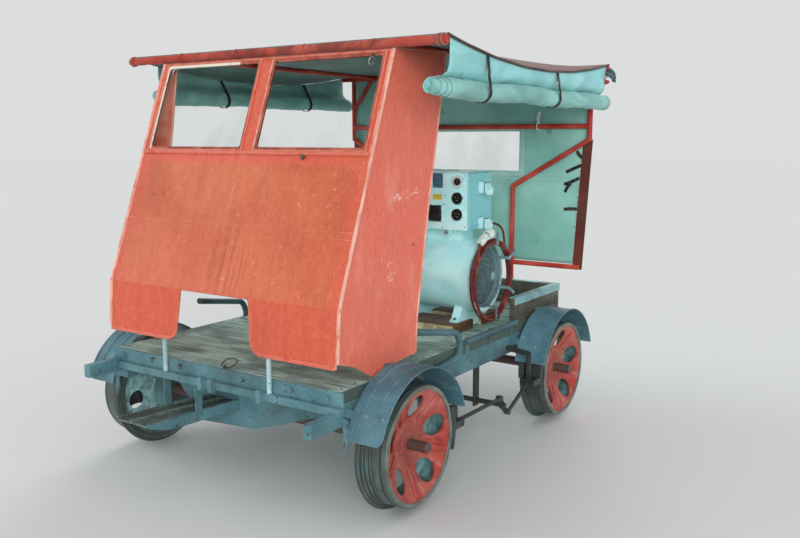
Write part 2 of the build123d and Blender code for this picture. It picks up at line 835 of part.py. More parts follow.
# Fenders: arcs of sheet over the wheels, with their stays
fender_span = 180 - 2 * fender_end_deg
with BuildPart() as fenders:
    for end_y in (-axle_y, axle_y):
        for side in sides:
            with BuildSketch(Plane.YZ.offset(side * (fender_in + fender_out) / 2)):
                with BuildLine():
                    arc = CenterArc((end_y, axle_z), fender_r, fender_end_deg, fender_span)
                    under = CenterArc((end_y, axle_z), fender_r - fender_t, fender_end_deg, fender_span)
                    Line(arc @ 0, under @ 0)
                    Line(arc @ 1, under @ 1)
                make_face()
            extrude(amount=(fender_out - fender_in) / 2, both=True)
    corners = fenders.edges().filter_by(lambda e: abs(e.length - fender_t) < 0.01)
    corners = corners.filter_by(lambda e: abs(e.center().X) > fender_out - 1 and e.center().Y < -axle_y - tread_r)
    fillet(corners, fender_corner_r)
    for end_y in (-axle_y, axle_y):
        for side in sides:
            wire_span = fender_span - (fender_corner_deg if end_y < 0 else 0)
            ring_rows = [(fender_out, fender_edge_r, fender_end_deg, wire_span)]
            if end_y < 0:
                for share in fender_beads:
                    bead_at = fender_in + share * (fender_out - fender_in)
                    ring_rows.append((bead_at, fender_bead_r, 180 - bead_end, -bead_span))
            for ring_x, ring_thick, from_deg, span_deg in ring_rows:
                start = radians(from_deg)
                ring_mid = fender_r - fender_t + ring_thick
                start_at = (side * ring_x, end_y + ring_mid * cos(start), axle_z + ring_mid * sin(start))
                with BuildSketch(Plane(origin=start_at, z_dir=(0, -sin(start), cos(start)))):
                    Circle(ring_thick)
                revolve(axis=Axis((0, end_y, axle_z), (1, 0, 0)), revolution_arc=span_deg)
save(fenders.part, "fenders")

stay_r = fender_r - fender_t - 0.7
with BuildPart() as stays:
    for end_y in (-axle_y, axle_y):
        for side in sides:
            for stay_deg in (stay_angle, 180 - stay_angle):
                a = radians(stay_deg)
                foot = (side * sill_out, end_y + stay_r * cos(a), axle_z + stay_r * sin(a))
                along = (0, -sin(a), cos(a)) if side > 0 else (0, sin(a), -cos(a))
                with BuildSketch(Plane(origin=foot, x_dir=along, z_dir=(side, 0, 0))):
                    with Locations((0, stay_t / 2)):
                        Rectangle(stay_w, stay_t)
                extrude(amount=fender_out - sill_out - 12)
            with BuildSketch(Plane.XZ.offset(-end_y - stay_w / 2)):
                with BuildLine():
                    Polyline(
                        (side * sill_out, sill_low + 30),
                        (side * sill_out, axle_z + stay_r),
                        (side * (fender_out - 12), axle_z + stay_r),
                        (side * (fender_out - 12), axle_z + stay_r - stay_t),
                        (side * (sill_out + stay_t), axle_z + stay_r - stay_t),
                        (side * (sill_out + stay_t), sill_low + 30),
                        close=True,
                    )
                make_face()
            extrude(amount=stay_w)
save(stays.part, "fender_stays")

# Tray: three low boards with angle rails along their tops
with BuildPart() as tray:
    with BuildSketch(Plane.XY.offset(deck_top)):
        with Locations((0, (tray_front + deck_half) / 2)):
            Rectangle(2 * sill_out, deck_half - tray_front)
        with Locations((0, (tray_front + deck_half) / 2 - tray_board_t)):
            Rectangle(2 * (sill_out - tray_board_t), deck_half - tray_front, mode=Mode.SUBTRACT)
    extrude(amount=tray_board_h)
save(tray.part, "tray_boards")

tray_top = deck_top + tray_board_h
with BuildPart() as tray_rails:
    with BuildSketch(Plane.XY.offset(tray_top)):
        with Locations((0, (tray_front + deck_half + tray_rail_t) / 2)):
            Rectangle(2 * (sill_out + tray_rail_t), deck_half + tray_rail_t - tray_front)
        with Locations((0, (tray_front + deck_half + tray_rail_t) / 2 - tray_rail)):
            Rectangle(
                2 * (sill_out + tray_rail_t - tray_rail), deck_half + tray_rail_t - tray_front, mode=Mode.SUBTRACT
            )
    extrude(amount=tray_rail_t)
    with BuildSketch(Plane.XY.offset(tray_top - tray_rail)):
        with Locations((0, (tray_front + deck_half + tray_rail_t) / 2)):
            Rectangle(2 * (sill_out + tray_rail_t), deck_half + tray_rail_t - tray_front)
        with Locations((0, (tray_front + deck_half) / 2)):
            Rectangle(2 * sill_out, deck_half - tray_front, mode=Mode.SUBTRACT)
    extrude(amount=tray_rail)
save(tray_rails.part, "tray_rails")

# Bent tube handles beside the deck and the straight tubes behind them
hand_x = sill_out + hand_r
side_rail_x = sill_out + side_rail_r
side_rail_z = deck_top + side_rail_rise
side_start, side_end = [(side_rail_x, end, side_rail_z) for end in side_rail_run]
side_bar = tube(side_start, side_end, side_rail_r)
with BuildPart() as side_tubes:
    add(side_bar)
    for clip_y in clip_rows:
        with BuildSketch(Plane.YZ.offset(sill_out)):
            with Locations((clip_y, (plank_low + side_rail_z + side_rail_r) / 2)):
                Rectangle(clip_w, side_rail_z + side_rail_r - plank_low)
        extrude(amount=clip_t)
    points = [(hand_x - inward, y, z) for inward, y, z in hand_route]
    with BuildLine():
        route = FilletPolyline(*points, radius=hand_bend)
    with BuildSketch(Plane(origin=route @ 0, z_dir=route % 0)):
        Circle(hand_r)
    sweep()
    mirror(about=Plane.YZ)
save(side_tubes.part, "side_tubes")

# Generator set on its two timber bearers
with BuildPart() as bearers:
    for row_y in (bearer_front, bearer_rear):
        with BuildSketch(Plane.XY.offset(deck_top)):
            with Locations(((bearer_left + bearer_right) / 2, row_y + bearer_w / 2)):
                Rectangle(bearer_right - bearer_left, bearer_w)
        extrude(amount=bearer_t)
save(bearers.part, "bearers")

bearer_top = deck_top + bearer_t
saddle_z = gen_z - sqrt(barrel_r**2 - saddle_half**2) + foot_t
gen_plane = Plane((0, gen_y, gen_z), x_dir=(0, 1, 0), z_dir=(1, 0, 0))
gen_axis = Axis((0, gen_y, gen_z), (1, 0, 0))
barrel_mid = (barrel_left + barrel_right) / 2
with BuildPart() as barrel:
    with BuildSketch(Plane((0, gen_y, gen_z), x_dir=(1, 0, 0), z_dir=(0, -1, 0))):
        with BuildLine():
            Polyline(
                (barrel_left, 0),
                (barrel_left, barrel_r - 30),
                (barrel_left + 24, barrel_r - 4),
                (barrel_left + 24, barrel_r),
                (barrel_right, barrel_r),
                (barrel_right, guard_r - 6),
                (barrel_right - 40, guard_r - 6),
                (barrel_right - 40, 0),
                close=True,
            )
        make_face()
    revolve(axis=gen_axis)
    for foot_x in foot_rows:
        with BuildSketch(Plane.YZ.offset(foot_x - foot_len / 2)):
            with BuildLine():
                Polyline(
                    (gen_y - foot_half, bearer_top),
                    (gen_y - foot_half, bearer_top + foot_t),
                    (gen_y - saddle_half, saddle_z),
                    (gen_y + saddle_half, saddle_z),
                    (gen_y + foot_half, bearer_top + foot_t),
                    (gen_y + foot_half, bearer_top),
                    close=True,
                )
            make_face()
        extrude(amount=foot_len)
    with BuildSketch(Plane.XY.offset(gen_z)):
        with Locations((barrel_mid, gen_y)):
            Rectangle(240, 110)
    extrude(amount=cbox_low - gen_z)
    with BuildSketch(gen_plane.offset(barrel_right - 40)):
        Circle(guard_r - 6)
    extrude(amount=40, mode=Mode.SUBTRACT)
save(barrel.part, "generator_barrel")

# Guard: a pierced dome with four arms that hold the coiled cable
dome_r = (guard_r**2 + guard_rise**2) / (2 * guard_rise)
dome_x = barrel_right + guard_rise - dome_r
dome_t = 4.0
with BuildPart() as guard:
    with BuildSketch(Plane((0, gen_y, gen_z), x_dir=(1, 0, 0), z_dir=(0, -1, 0))):
        with BuildLine():
            swing = degrees(asin(guard_r / dome_r))
            outer = CenterArc((dome_x, 0), dome_r, 0, swing)
            inner = CenterArc((dome_x, 0), dome_r - dome_t, 0, swing)
            Line(outer @ 0, inner @ 0)
            Line(outer @ 1, inner @ 1)
        make_face()
    revolve(axis=gen_axis)
    with BuildSketch(gen_plane.offset(barrel_right - dome_t - 1)):
        Circle(guard_r + 10)
    extrude(amount=dome_t + 1, mode=Mode.SUBTRACT)
    with BuildSketch(gen_plane.offset(barrel_right)):
        Circle(guard_r + 4)
        Circle(guard_r - 14, mode=Mode.SUBTRACT)
    extrude(amount=5)
    for ring, count in ((34, 8), (62, 14), (90, 20), (118, 26)):
        with BuildSketch(gen_plane.offset(barrel_right + 8)):
            with PolarLocations(ring, count):
                Rectangle(16, 14)
        extrude(amount=guard_rise + 10, mode=Mode.SUBTRACT)
    for arm_deg in (90, 30, -30, -90):
        a = radians(arm_deg)
        arm_dir = (0, cos(a), sin(a))
        arm_plane = Plane((0, gen_y, gen_z), x_dir=arm_dir, z_dir=(0, -sin(a), cos(a)))
        with BuildSketch(arm_plane.offset(-arm_w / 2)):
            with Locations((arm_r, -(barrel_right + arm_reach / 2))):
                Rectangle(arm_t, arm_reach)
            with Locations(((arm_r + arm_tip_r) / 2, -(barrel_right + arm_reach - arm_t / 2))):
                Rectangle(arm_tip_r - arm_r, arm_t)
        extrude(amount=arm_w)
save(guard.part, "generator_guard")

with BuildPart() as cbox:
    with BuildSketch(Plane.XY.offset(cbox_low)):
        with Locations(((cbox_left + cbox_right) / 2, (cbox_front + cbox_rear) / 2)):
            RectangleRounded(cbox_right - cbox_left, cbox_rear - cbox_front, 14)
    extrude(amount=cbox_high - cbox_low)
    chamfer(cbox.faces().sort_by(Axis.Z)[-1].edges(), 8)
    for dial_z in dial_rows:
        with BuildSketch(Plane.XZ.offset(-cbox_front)):
            with Locations((dial_x, dial_z)):
                Circle(dial_r)
        extrude(amount=dial_t)
    with BuildSketch(Plane.XZ.offset(-cbox_front)):
        with Locations(outlet_at):
            RectangleRounded(outlet_w, outlet_w, 6)
    extrude(amount=dial_t)
    for socket_z in socket_rows:
        with BuildSketch(Plane.YZ.offset(cbox_right)):
            with Locations((socket_y, socket_z)):
                RectangleRounded(socket_w, socket_h, 10)
        extrude(amount=socket_t, taper=8)
        with BuildSketch(Plane.XZ.offset(-socket_y - lid_w / 2)):
            with BuildLine():
                Polyline(
                    (cbox_right + socket_t, socket_z + 24),
                    (cbox_right + socket_t + 22, socket_z - 6),
                    (cbox_right + socket_t + 18, socket_z - 34),
                    (cbox_right + socket_t, socket_z - 20),
                    close=True,
                )
            make_face()
        extrude(amount=lid_w)
    with BuildSketch(Plane.YZ.offset(cbox_right)):
        with Locations(gland_at):
            Circle(gland_r)
    extrude(amount=gland_len)
save(cbox.part, "control_box")

# Extension cable: a coil on the guard's arms, a tail from the box's gland and a plug
coil_z = gen_z + arm_r + arm_t / 2 + coil_gap - (coil_r - coil_t)
coil_x = barrel_right + arm_reach - arm_t - coil_t - 8
with BuildPart() as coil:
    with BuildSketch(Plane((0, gen_y, coil_z), x_dir=(1, 0, 0), z_dir=(0, -1, 0))):
        with Locations((coil_x, coil_r)):
            Circle(coil_t)
    revolve(axis=Axis((0, gen_y, coil_z), (1, 0, 0)))
save(coil.part, "cable_coil")

# Each route starts square to the face it leaves and ends in the coil
tail_routes = (
    (
        (cbox_right + gland_len, *gland_at),
        (568, gland_at[0], gland_at[1]),
        (597, 376, 1012),
        (600, 382, 975),
        (596, 396, 943),
        (coil_x, 418, 916.6),
    ),
    (
        (coil_x, 203, 994),
        (coil_x, 170, 994 - 33 * plug_rise),
        (592, 148, 962),
        (595, 138, 930),
        (600, 128, 902),
    ),
)
tails = []
for route_points in tail_routes:
    runs = [Vector(*b) - Vector(*a) for a, b in zip(route_points, route_points[1:])]
    radii = [
        0.45 * min(a.length, b.length) / tan(radians(a.get_angle(b) / 2)) for a, b in zip(runs, runs[1:])
    ]
    print("cable bend radii", [round(r) for r in radii])
    with BuildPart() as tail:
        with BuildLine():
            route = FilletPolyline(*route_points, radius=radii)
        with BuildSketch(Plane(origin=route @ 0, z_dir=route % 0)):
            Circle(cord_r)
        sweep()
    tails.append(tail.part)
with BuildPart() as cable_tails:
    add(tails)
save(cable_tails.part, "cable_tails")

plug_back = Vector(*tail_routes[1][0])
with BuildPart() as plug:
    with BuildSketch(Plane(plug_back, x_dir=(1, 0, 0), z_dir=(0, 1, plug_rise))):
        Circle(cord_r + 3)
    with BuildSketch(Plane(plug_back, x_dir=(1, 0, 0), z_dir=(0, 1, plug_rise)).offset(plug_neck)):
        Circle(plug_r)
    loft(ruled=True)
    with BuildSketch(Plane(plug_back, x_dir=(1, 0, 0), z_dir=(0, 1, plug_rise)).offset(plug_neck)):
        Circle(plug_r)
    extrude(amount=plug_len)
save(plug.part, "cable_plug")

# Brake gear: shoes on the treads, hangers, cross shaft with rockers, push rods
shoe_in = wheel_in + flange_w + shoe_gap
shoe_r = tread_r + shoe_gap
back_r = shoe_r + shoe_t
block_r = back_r + 72
shoe_mid = (shoe_in + wheel_out - 6) / 2
with BuildPart() as shoes:
    for way in sides:
        for side in sides:
            with BuildSketch(Plane.YZ.offset(side * shoe_mid)):
                with BuildLine():
                    start = -20 if way < 0 else 160
                    face = CenterArc((way * axle_y, axle_z), shoe_r, start, 40)
                    back = CenterArc((way * axle_y, axle_z), back_r, start, 40)
                    Line(face @ 0, back @ 0)
                    Line(face @ 1, back @ 1)
                make_face()
                with Locations((way * (axle_y - (back_r + block_r) / 2 + 4), axle_z)):
                    Rectangle(block_r - back_r + 8, 30)
            extrude(amount=(wheel_out - 6 - shoe_in) / 2, both=True)
save(shoes.part, "brake_shoes")

hang_y = axle_y - block_r + 16
with BuildPart() as hangers:
    for way in sides:
        for side in sides:
            with BuildSketch(Plane.XZ.offset(-way * hang_y - 10)):
                with BuildLine():
                    Polyline(
                        (side * sill_out, sill_low + 44),
                        (side * (shoe_mid + 8), sill_low + 26),
                        (side * (shoe_mid + 8), axle_z + 15 + soft_gap),
                        (side * (shoe_mid - 8), axle_z + 15 + soft_gap),
                        (side * (shoe_mid - 8), sill_low + 8),
                        (side * sill_out, sill_low + 20),
                        close=True,
                    )
                make_face()
            extrude(amount=20)
    for side in sides:
        with BuildSketch(Plane.YZ.offset(side * (sill_out - 30))):
            with Locations((brake_y, (sill_low + brake_z - 26) / 2)):
                Rectangle(44, sill_low - brake_z + 26)
            with Locations((brake_y, brake_z)):
                Circle(shaft_r + soft_gap, mode=Mode.SUBTRACT)
        extrude(amount=side * 10)
save(hangers.part, "brake_hangers")

rocker_run = (rocker_low[0] - rocker_top[0], rocker_low[1] - rocker_top[1])
shaft_bar = tube((-shoe_mid - 12, brake_y, brake_z), (shoe_mid + 12, brake_y, brake_z), shaft_r)
with BuildPart() as brake_shaft:
    add(shaft_bar)
    for side in sides:
        with BuildSketch(Plane.YZ.offset(side * (shoe_mid - 12))):
            with Locations((brake_y, brake_z)):
                Circle(20)
            for eye in (rocker_top, rocker_low):
                with Locations(eye):
                    Circle(14)
            with Locations(((rocker_top[0] + rocker_low[0]) / 2, (rocker_top[1] + rocker_low[1]) / 2)):
                Rectangle(hypot(*rocker_run), rocker_w, rotation=degrees(atan2(rocker_run[1], rocker_run[0])))
        extrude(amount=side * 8)
save(brake_shaft.part, "brake_shaft")

rod_at = shoe_mid + 6
eyes = ((-1, rocker_top), (1, rocker_low))
rod_end = axle_y - block_r - soft_gap - rod_r
rod_bars = [tube((rod_at, eye[0], eye[1]), (rod_at, way * rod_end, axle_z), rod_r) for way, eye in eyes]
with BuildPart() as rods:
    add(rod_bars)
    with Locations((rod_at, -rod_end, axle_z), (rod_at, rod_end, axle_z)):
        Sphere(rod_r)
    for way, eye in eyes:
        with BuildSketch(Plane.YZ.offset(shoe_mid - 4 + soft_gap)):
            with Locations(eye):
                Circle(15)
        extrude(amount=18)
    mirror(about=Plane.YZ)
save(rods.part, "brake_rods")

# Step under the front beam: two pressed slats with upturned lips, which spread a little towards the free end,
# on two bearers, with a side plate along the right slat and hangers from the beam and on the shield
step_root_y = shield_y - shield_t


def shifted(line, by):
    """A line of the step, moved sideways."""
    return (line[0] + by, line[1] + by)


def line_x(line, y):
    """Where a line of the step is at a place along the trolley."""
    return line[0] + (line[1] - line[0]) * (y - step_front) / (step_root_y - step_front)


def step_strip(left, right):
    """Corners of the strip of the step between two of its lines."""
    return (left[0], step_front), (right[0], step_front), (right[1], step_root_y), (left[1], step_root_y)


with BuildPart() as slats:
    for n in range(2):
        left = shifted(step_lines[n], slat_gap / 2)
        right = shifted(step_lines[n + 1], -slat_gap / 2)
        for strip, rise in (
            (step_strip(left, right), slat_t),
            (step_strip(left, shifted(left, lip_w)), lip_h),
            (step_strip(shifted(right, -lip_w), right), lip_h),
        ):
            with BuildSketch(Plane.XY.offset(step_z - lip_h)):
                with BuildLine():
                    Polyline(*strip, close=True)
                make_face()
            extrude(amount=rise)
save(slats.part, "step_slats")

bearer_z = step_z - lip_h - bearer_t
plate_in = shifted(step_lines[2], slat_gap / 2)
front_bearer = -beam_y + beam_t
with BuildPart() as step_irons:
    with BuildSketch(Plane.XY.offset(step_z - fascia_h)):
        with BuildLine():
            Polyline(*step_strip(plate_in, shifted(plate_in, fascia_t)), close=True)
        make_face()
    extrude(amount=fascia_h)
    with BuildSketch(Plane.YZ.offset(plate_in[0])):
        with BuildLine():
            Polyline(
                (step_front, step_z - fascia_tip),
                (step_front + fascia_cut, step_z - fascia_h),
                (step_front, step_z - fascia_h),
                close=True,
            )
        make_face()
    extrude(amount=2 * fascia_h, both=True, mode=Mode.SUBTRACT)
    for bar_y, beyond in ((front_bearer, hanger_out), (step_root_y - bearer_w / 2, -slat_gap)):
        bar_left = line_x(step_lines[0], bar_y) - beyond
        bar_right = line_x(plate_in, bar_y) + fascia_t / 2
        with BuildSketch(Plane.XY.offset(bearer_z)):
            with Locations(((bar_left + bar_right) / 2, bar_y)):
                Rectangle(bar_right - bar_left, bearer_w)
        extrude(amount=bearer_t)
    left_hanger = line_x(step_lines[0], front_bearer) - hanger_out + hanger_t / 2
    right_hanger = line_x(plate_in, front_bearer) + fascia_t
    with BuildSketch(Plane.XY.offset(bearer_z)):
        for hanger_x in (left_hanger, right_hanger):
            with Locations((hanger_x, front_bearer)):
                Rectangle(hanger_t, bearer_w)
    extrude(amount=deck_top - beam_drop - bearer_z)
save(step_irons.part, "step_irons")

with BuildPart() as shield:
    with BuildSketch(Plane.XZ.offset(-shield_y)):
        with BuildLine():
            Polyline(
                (-shield_half, shield_edge_z),
                (shield_tip_left, shield_low_z - shield_tip_rise),
                (shield_tip_right, shield_low_z + shield_tip_rise),
                (shield_half, shield_edge_z),
                (shield_half, plank_low - 4),
                (-shield_half, plank_low - 4),
                close=True,
            )
        make_face()
    extrude(amount=shield_t)
save(shield.part, "shield_plate")
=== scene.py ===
from math import cos, pi, radians, sin

import bmesh
import bpy
import numpy as np
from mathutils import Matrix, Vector


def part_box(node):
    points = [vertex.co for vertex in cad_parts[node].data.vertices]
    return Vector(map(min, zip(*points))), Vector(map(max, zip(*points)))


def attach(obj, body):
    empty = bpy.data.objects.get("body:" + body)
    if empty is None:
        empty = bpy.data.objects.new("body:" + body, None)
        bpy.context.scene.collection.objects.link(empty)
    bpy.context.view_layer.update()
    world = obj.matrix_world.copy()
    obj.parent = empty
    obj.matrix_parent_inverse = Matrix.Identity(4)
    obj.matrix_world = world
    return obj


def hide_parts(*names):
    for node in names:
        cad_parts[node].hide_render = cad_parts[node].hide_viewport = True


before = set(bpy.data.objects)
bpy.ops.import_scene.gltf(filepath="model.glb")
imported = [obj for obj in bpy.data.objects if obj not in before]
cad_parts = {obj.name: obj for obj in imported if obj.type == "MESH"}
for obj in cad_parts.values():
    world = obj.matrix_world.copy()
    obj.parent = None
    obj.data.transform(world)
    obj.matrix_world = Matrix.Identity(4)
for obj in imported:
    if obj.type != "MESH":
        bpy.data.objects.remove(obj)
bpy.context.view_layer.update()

# Camera, floor and light: the camera stands off the right front corner, a little under roof height, and
# looks down slightly. The floor is pale and matt, the light is soft and white from all sides.
camera_place = (2.521, -3.384, 1.455)
camera_turn = 33.98            # degrees from straight ahead (+Y) towards the left (-X)
camera_dip = 8.67
image_width = 800
focal_pixels = 857.1
camera_data = bpy.data.cameras.new("camera")
camera_data.sensor_width = 36.0
camera_data.lens = focal_pixels / image_width * camera_data.sensor_width
camera = bpy.data.objects.new("camera", camera_data)
camera.location = camera_place
camera.rotation_euler = (radians(90 - camera_dip), 0, radians(camera_turn))
bpy.context.collection.objects.link(camera)
bpy.context.scene.camera = camera
bpy.context.scene.view_settings.view_transform = "Standard"


def tone(red, green, blue, shade=1.0):
    """A screen colour (0 to 255) as linear light, made darker or lighter by shade."""
    value = np.array([red, green, blue]) / 255
    value = np.where(value > 0.04045, ((value + 0.055) / 1.055) ** 2.4, value / 12.92)
    return (*(value * shade).clip(0, 1), 1.0)


# White light from three directions: name, where it comes from, strength, and spread in degrees. The spread is
# so wide that shadows are as soft as under thin cloud.
lights = (
    ("key_light", (0.60, -0.76, 0.26), 1.50, 34),
    ("left_light", (-0.85, -0.30, 0.36), 0.75, 40),
    ("rear_light", (-0.30, 0.85, 0.42), 0.85, 40),
)
for name, toward, strength, spread in lights:
    light = bpy.data.lights.new(name, "SUN")
    light.energy = strength
    light.angle = radians(spread)
    holder = bpy.data.objects.new(name, light)
    holder.rotation_euler = Vector(toward).to_track_quat("Z", "Y").to_euler()
    bpy.context.collection.objects.link(holder)

# What the camera sees behind the floor has the floor's own tone; everything else is lit by soft white.
fill_light = 0.56
world = bpy.data.worlds.new("studio")
world.use_nodes = True
studio = world.node_tree
ray = studio.nodes.new("ShaderNodeLightPath")
seen = studio.nodes.new("ShaderNodeMath")
seen.operation = "MAXIMUM"
studio.links.new(ray.outputs["Is Camera Ray"], seen.inputs[0])
studio.links.new(ray.outputs["Is Transmission Ray"], seen.inputs[1])
light_tone = studio.nodes.new("ShaderNodeMix")
light_tone.data_type = "RGBA"
light_tone.inputs[6].default_value = (fill_light, fill_light, fill_light, 1)
light_tone.inputs[7].default_value = tone(220, 221, 221)
studio.links.new(seen.outputs[0], light_tone.inputs["Factor"])
studio.links.new(light_tone.outputs[2], studio.nodes["Background"].inputs["Color"])
bpy.context.scene.world = world


class Finish:
    """A surface finish: each method adds one pattern to the material and gives back its socket."""

    def __init__(self, name, metallic=0.0):
        self.material = bpy.data.materials.new(name)
        self.material.use_nodes = True
        self.tree = self.material.node_tree
        self.shader = self.tree.nodes["Principled BSDF"]
        self.shader.inputs["Metallic"].default_value = metallic
        self.coords = self.node("TexCoord")
        self.place = self.coords.outputs["Object"]

    def put(self, socket, value):
        """Joins a pattern to a socket, or writes a plain value on it."""
        if isinstance(value, bpy.types.NodeSocket):
            self.tree.links.new(value, socket)
        else:
            socket.default_value = value

    def node(self, kind, inputs=None, **options):
        """Adds one node with its options, and puts a pattern or a plain value on each input that is named."""
        made = self.tree.nodes.new("ShaderNode" + kind)
        for option, value in options.items():
            setattr(made, option, value)
        for socket, value in (inputs or {}).items():
            self.put(made.inputs[socket], value)
        return made

    def noise(self, scale, detail=4.0, stretch=(1, 1, 1), warp=0.0, place=None):
        """Cloudy noise, 0 to 1, so many clouds to the metre. A small stretch draws them out long that way."""
        place = place or self.node("Mapping", {"Vector": self.place, "Scale": stretch}).outputs["Vector"]
        inputs = {"Vector": place, "Scale": scale, "Detail": detail, "Distortion": warp}
        return self.node("TexNoise", inputs).outputs["Fac"]

    def calc(self, kind, first, second=0.0):
        """One step of arithmetic on patterns or numbers."""
        return self.node("Math", {0: first, 1: second}, operation=kind).outputs[0]

    def times(self, first, second):
        """Two patterns multiplied, or a pattern made weaker."""
        return self.calc("MULTIPLY", first, second)

    def step(self, value, low, high):
        """0 below low, 1 above high, smooth between; low above high turns it round."""
        inputs = {
            "Value": value, "From Min": min(low, high), "From Max": max(low, high),
            "To Min": float(low > high), "To Max": float(low < high),
        }
        return self.node("MapRange", inputs, interpolation_type="SMOOTHSTEP").outputs["Result"]

    def clouds(self, scale, detail, low, high, stretch=(1, 1, 1), warp=0.0):
        """Noise as soft patches: 0 where it is under low, 1 where it is over high."""
        return self.step(self.noise(scale, detail, stretch, warp), low, high)

    def axis(self, letter):
        """One coordinate as a pattern."""
        return self.node("SeparateXYZ", {0: self.place}).outputs[letter]

    def aside(self):
        """Distance from the middle plane of the whole object, to the left or to the right."""
        return self.calc("ABSOLUTE", self.axis("X"))

    def facing(self, letter):
        """How much a face points along one axis, from -1 to 1."""
        return self.node("SeparateXYZ", {0: self.coords.outputs["Normal"]}).outputs[letter]

    def at(self, x, y, z):
        """Three patterns as one set of coordinates."""
        return self.node("CombineXYZ", {0: x, 1: y, 2: z}).outputs[0]

    def squares(self, first, second):
        """The sum of two squares."""
        return self.calc("ADD", self.times(first, first), self.times(second, second))

    def mix(self, share, first, second):
        """Two colours, mixed by a pattern."""
        return self.node("Mix", {"Factor": share, 6: first, 7: second}, data_type="RGBA").outputs[2]

    def lay(self, color, over, where, amount=1.0):
        """Lays a second colour over the first where a pattern says, at so much strength."""
        return self.mix(where if amount == 1.0 else self.times(where, amount), color, over)

    def bump(self, height, depth, under=None):
        """Raises the surface by depth metres where the height pattern is 1, on top of another bump."""
        inputs = {"Distance": depth, "Height": height}
        if under is not None:
            inputs["Normal"] = under
        return self.node("Bump", inputs).outputs["Normal"]

    def done(self, color, roughness, normal=None, sheen=0.0, gloss=0.3):
        """Joins the patterns to the shader and hands over the material."""
        self.shader.inputs["Specular IOR Level"].default_value = gloss
        self.shader.inputs["Sheen Weight"].default_value = sheen
        self.put(self.shader.inputs["Base Color"], color)
        self.put(self.shader.inputs["Roughness"], roughness)
        if normal is not None:
            self.put(self.shader.inputs["Normal"], normal)
        return self.material


floor_half, floor_drop = 60.0, 0.0005
floor_mesh = bpy.data.meshes.new("floor")
floor_corners = [
    (x * floor_half, y * floor_half, -floor_drop) for x, y in ((-1, -1), (1, -1), (1, 1), (-1, 1))
]
floor_mesh.from_pydata(floor_corners, [], [(0, 1, 2, 3)])
floor_mesh.materials.append(Finish("floor_finish").done(tone(230, 232, 232), 1.0, gloss=0.0))
floor = bpy.data.objects.new("floor", floor_mesh)
bpy.context.collection.objects.link(floor)


# Extension cable: seven metres of round rubber cable, 11 mm thick, plugged in nowhere. It leaves the control
# box through a gland, hangs in a loose coil on the four arms of the generator's guard and ends in its plug.
cable_thick = 0.011
turns = 5.71
points_each_turn = 18
strands = 6
slack_after = (0, 0.5, 1.5, 2.5, 3.5, 4.5, 5.7)                  # turns
slack_there = (0.0, 0.012, 0.003, 0.018, 0.007, 0.015, 0.0)      # metres that the turn hangs lower
join_deg = 45.0                # where the lead from the box meets the coil, from +Y up towards +Z
coil_low, coil_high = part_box("cable_coil")
coil_middle = (coil_low + coil_high) / 2
coil_thick_r = (coil_high.x - coil_low.x) / 2
coil_ring_r = (coil_high.z - coil_low.z) / 2 - coil_thick_r
lead_points = [
    (0.538, 0.375, 1.040),
    (0.568, 0.375, 1.040),
    (0.597, 0.376, 1.012),
    (0.600, 0.382, 0.975),
    (0.596, 0.396, 0.943),
]
plug_points = [
    (0.600, 0.128, 0.902),
    (0.595, 0.138, 0.930),
    (0.592, 0.148, 0.962),
    (0.591, 0.170, 0.989),
    (0.591, 0.203, 0.994),
]


def coil_points():
    """Turns round the coil's middle: the angle falls steadily, and in the last fifth of each turn the cable
    moves on by one place in the small ring in which its strands lie."""
    wound = np.arange(0, turns * points_each_turn + 0.5) / points_each_turn
    shift = np.clip((wound % 1 - 0.8) / 0.2, 0, 1)
    strand = (np.floor(wound) + shift * shift * (3 - 2 * shift)) * 2 * pi / strands
    angle = radians(join_deg) - 2 * pi * wound
    ring = (coil_ring_r + cable_thick * np.cos(strand)) / cos(pi / points_each_turn)
    slack = np.interp(wound, slack_after, slack_there) * (1 - np.sin(angle)) / 2
    x = coil_middle.x - cable_thick * np.sin(strand) + 0.2 * slack * np.sin(wound * 7)
    y = coil_middle.y + (ring + slack * 0.3) * np.cos(angle)
    z = coil_middle.z + (ring + slack) * np.sin(angle)
    return np.stack([x, y, z], 1)


def rubber_finish():
    """Red-brown cable rubber, dusty where it lies open, with a dull sheen."""
    look = Finish("cable_rubber_finish")
    color = look.mix(look.clouds(16, 5, 0.42, 0.70), tone(104, 36, 32), tone(138, 78, 70))
    return look.done(color, 0.62, look.bump(look.noise(900, 2), 0.0002))


cable_route = np.concatenate([lead_points, coil_points(), plug_points])
cable_curve = bpy.data.curves.new("cable", "CURVE")
cable_curve.dimensions = "3D"
cable_curve.bevel_depth = cable_thick / 2
cable_curve.bevel_resolution = 3
cable_curve.resolution_u = 4
cable_curve.use_fill_caps = True
cable_line = cable_curve.splines.new("NURBS")
cable_line.points.add(len(cable_route) - 1)
cable_line.points.foreach_set("co", np.c_[cable_route, np.ones(len(cable_route))].ravel())
cable_line.order_u = 3
cable_line.use_endpoint_u = True
cable = bpy.data.objects.new("cable", cable_curve)
bpy.context.collection.objects.link(cable)
cable_curve.materials.append(rubber_finish())
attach(cable, "frame")
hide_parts("cable_coil", "cable_tails")


# Plug: a moulded grey body with nine grip rings, on a long neck that is moulded round the cable's end. Its
# socket face is open and its edges are scuffed pale.
def grid_faces(rows, columns, round_u=False, round_v=False):
    """Faces of a grid of points: each four neighbours make one. A round direction joins its last line to its
    first."""
    i = np.arange(rows if round_u else rows - 1)[:, None]
    j = np.arange(columns if round_v else columns - 1)[None, :]
    next_i, next_j = (i + 1) % rows, (j + 1) % columns
    corners = [i * columns + j, next_i * columns + j, next_i * columns + next_j, i * columns + next_j]
    return np.stack(corners, -1).reshape(-1, 4)


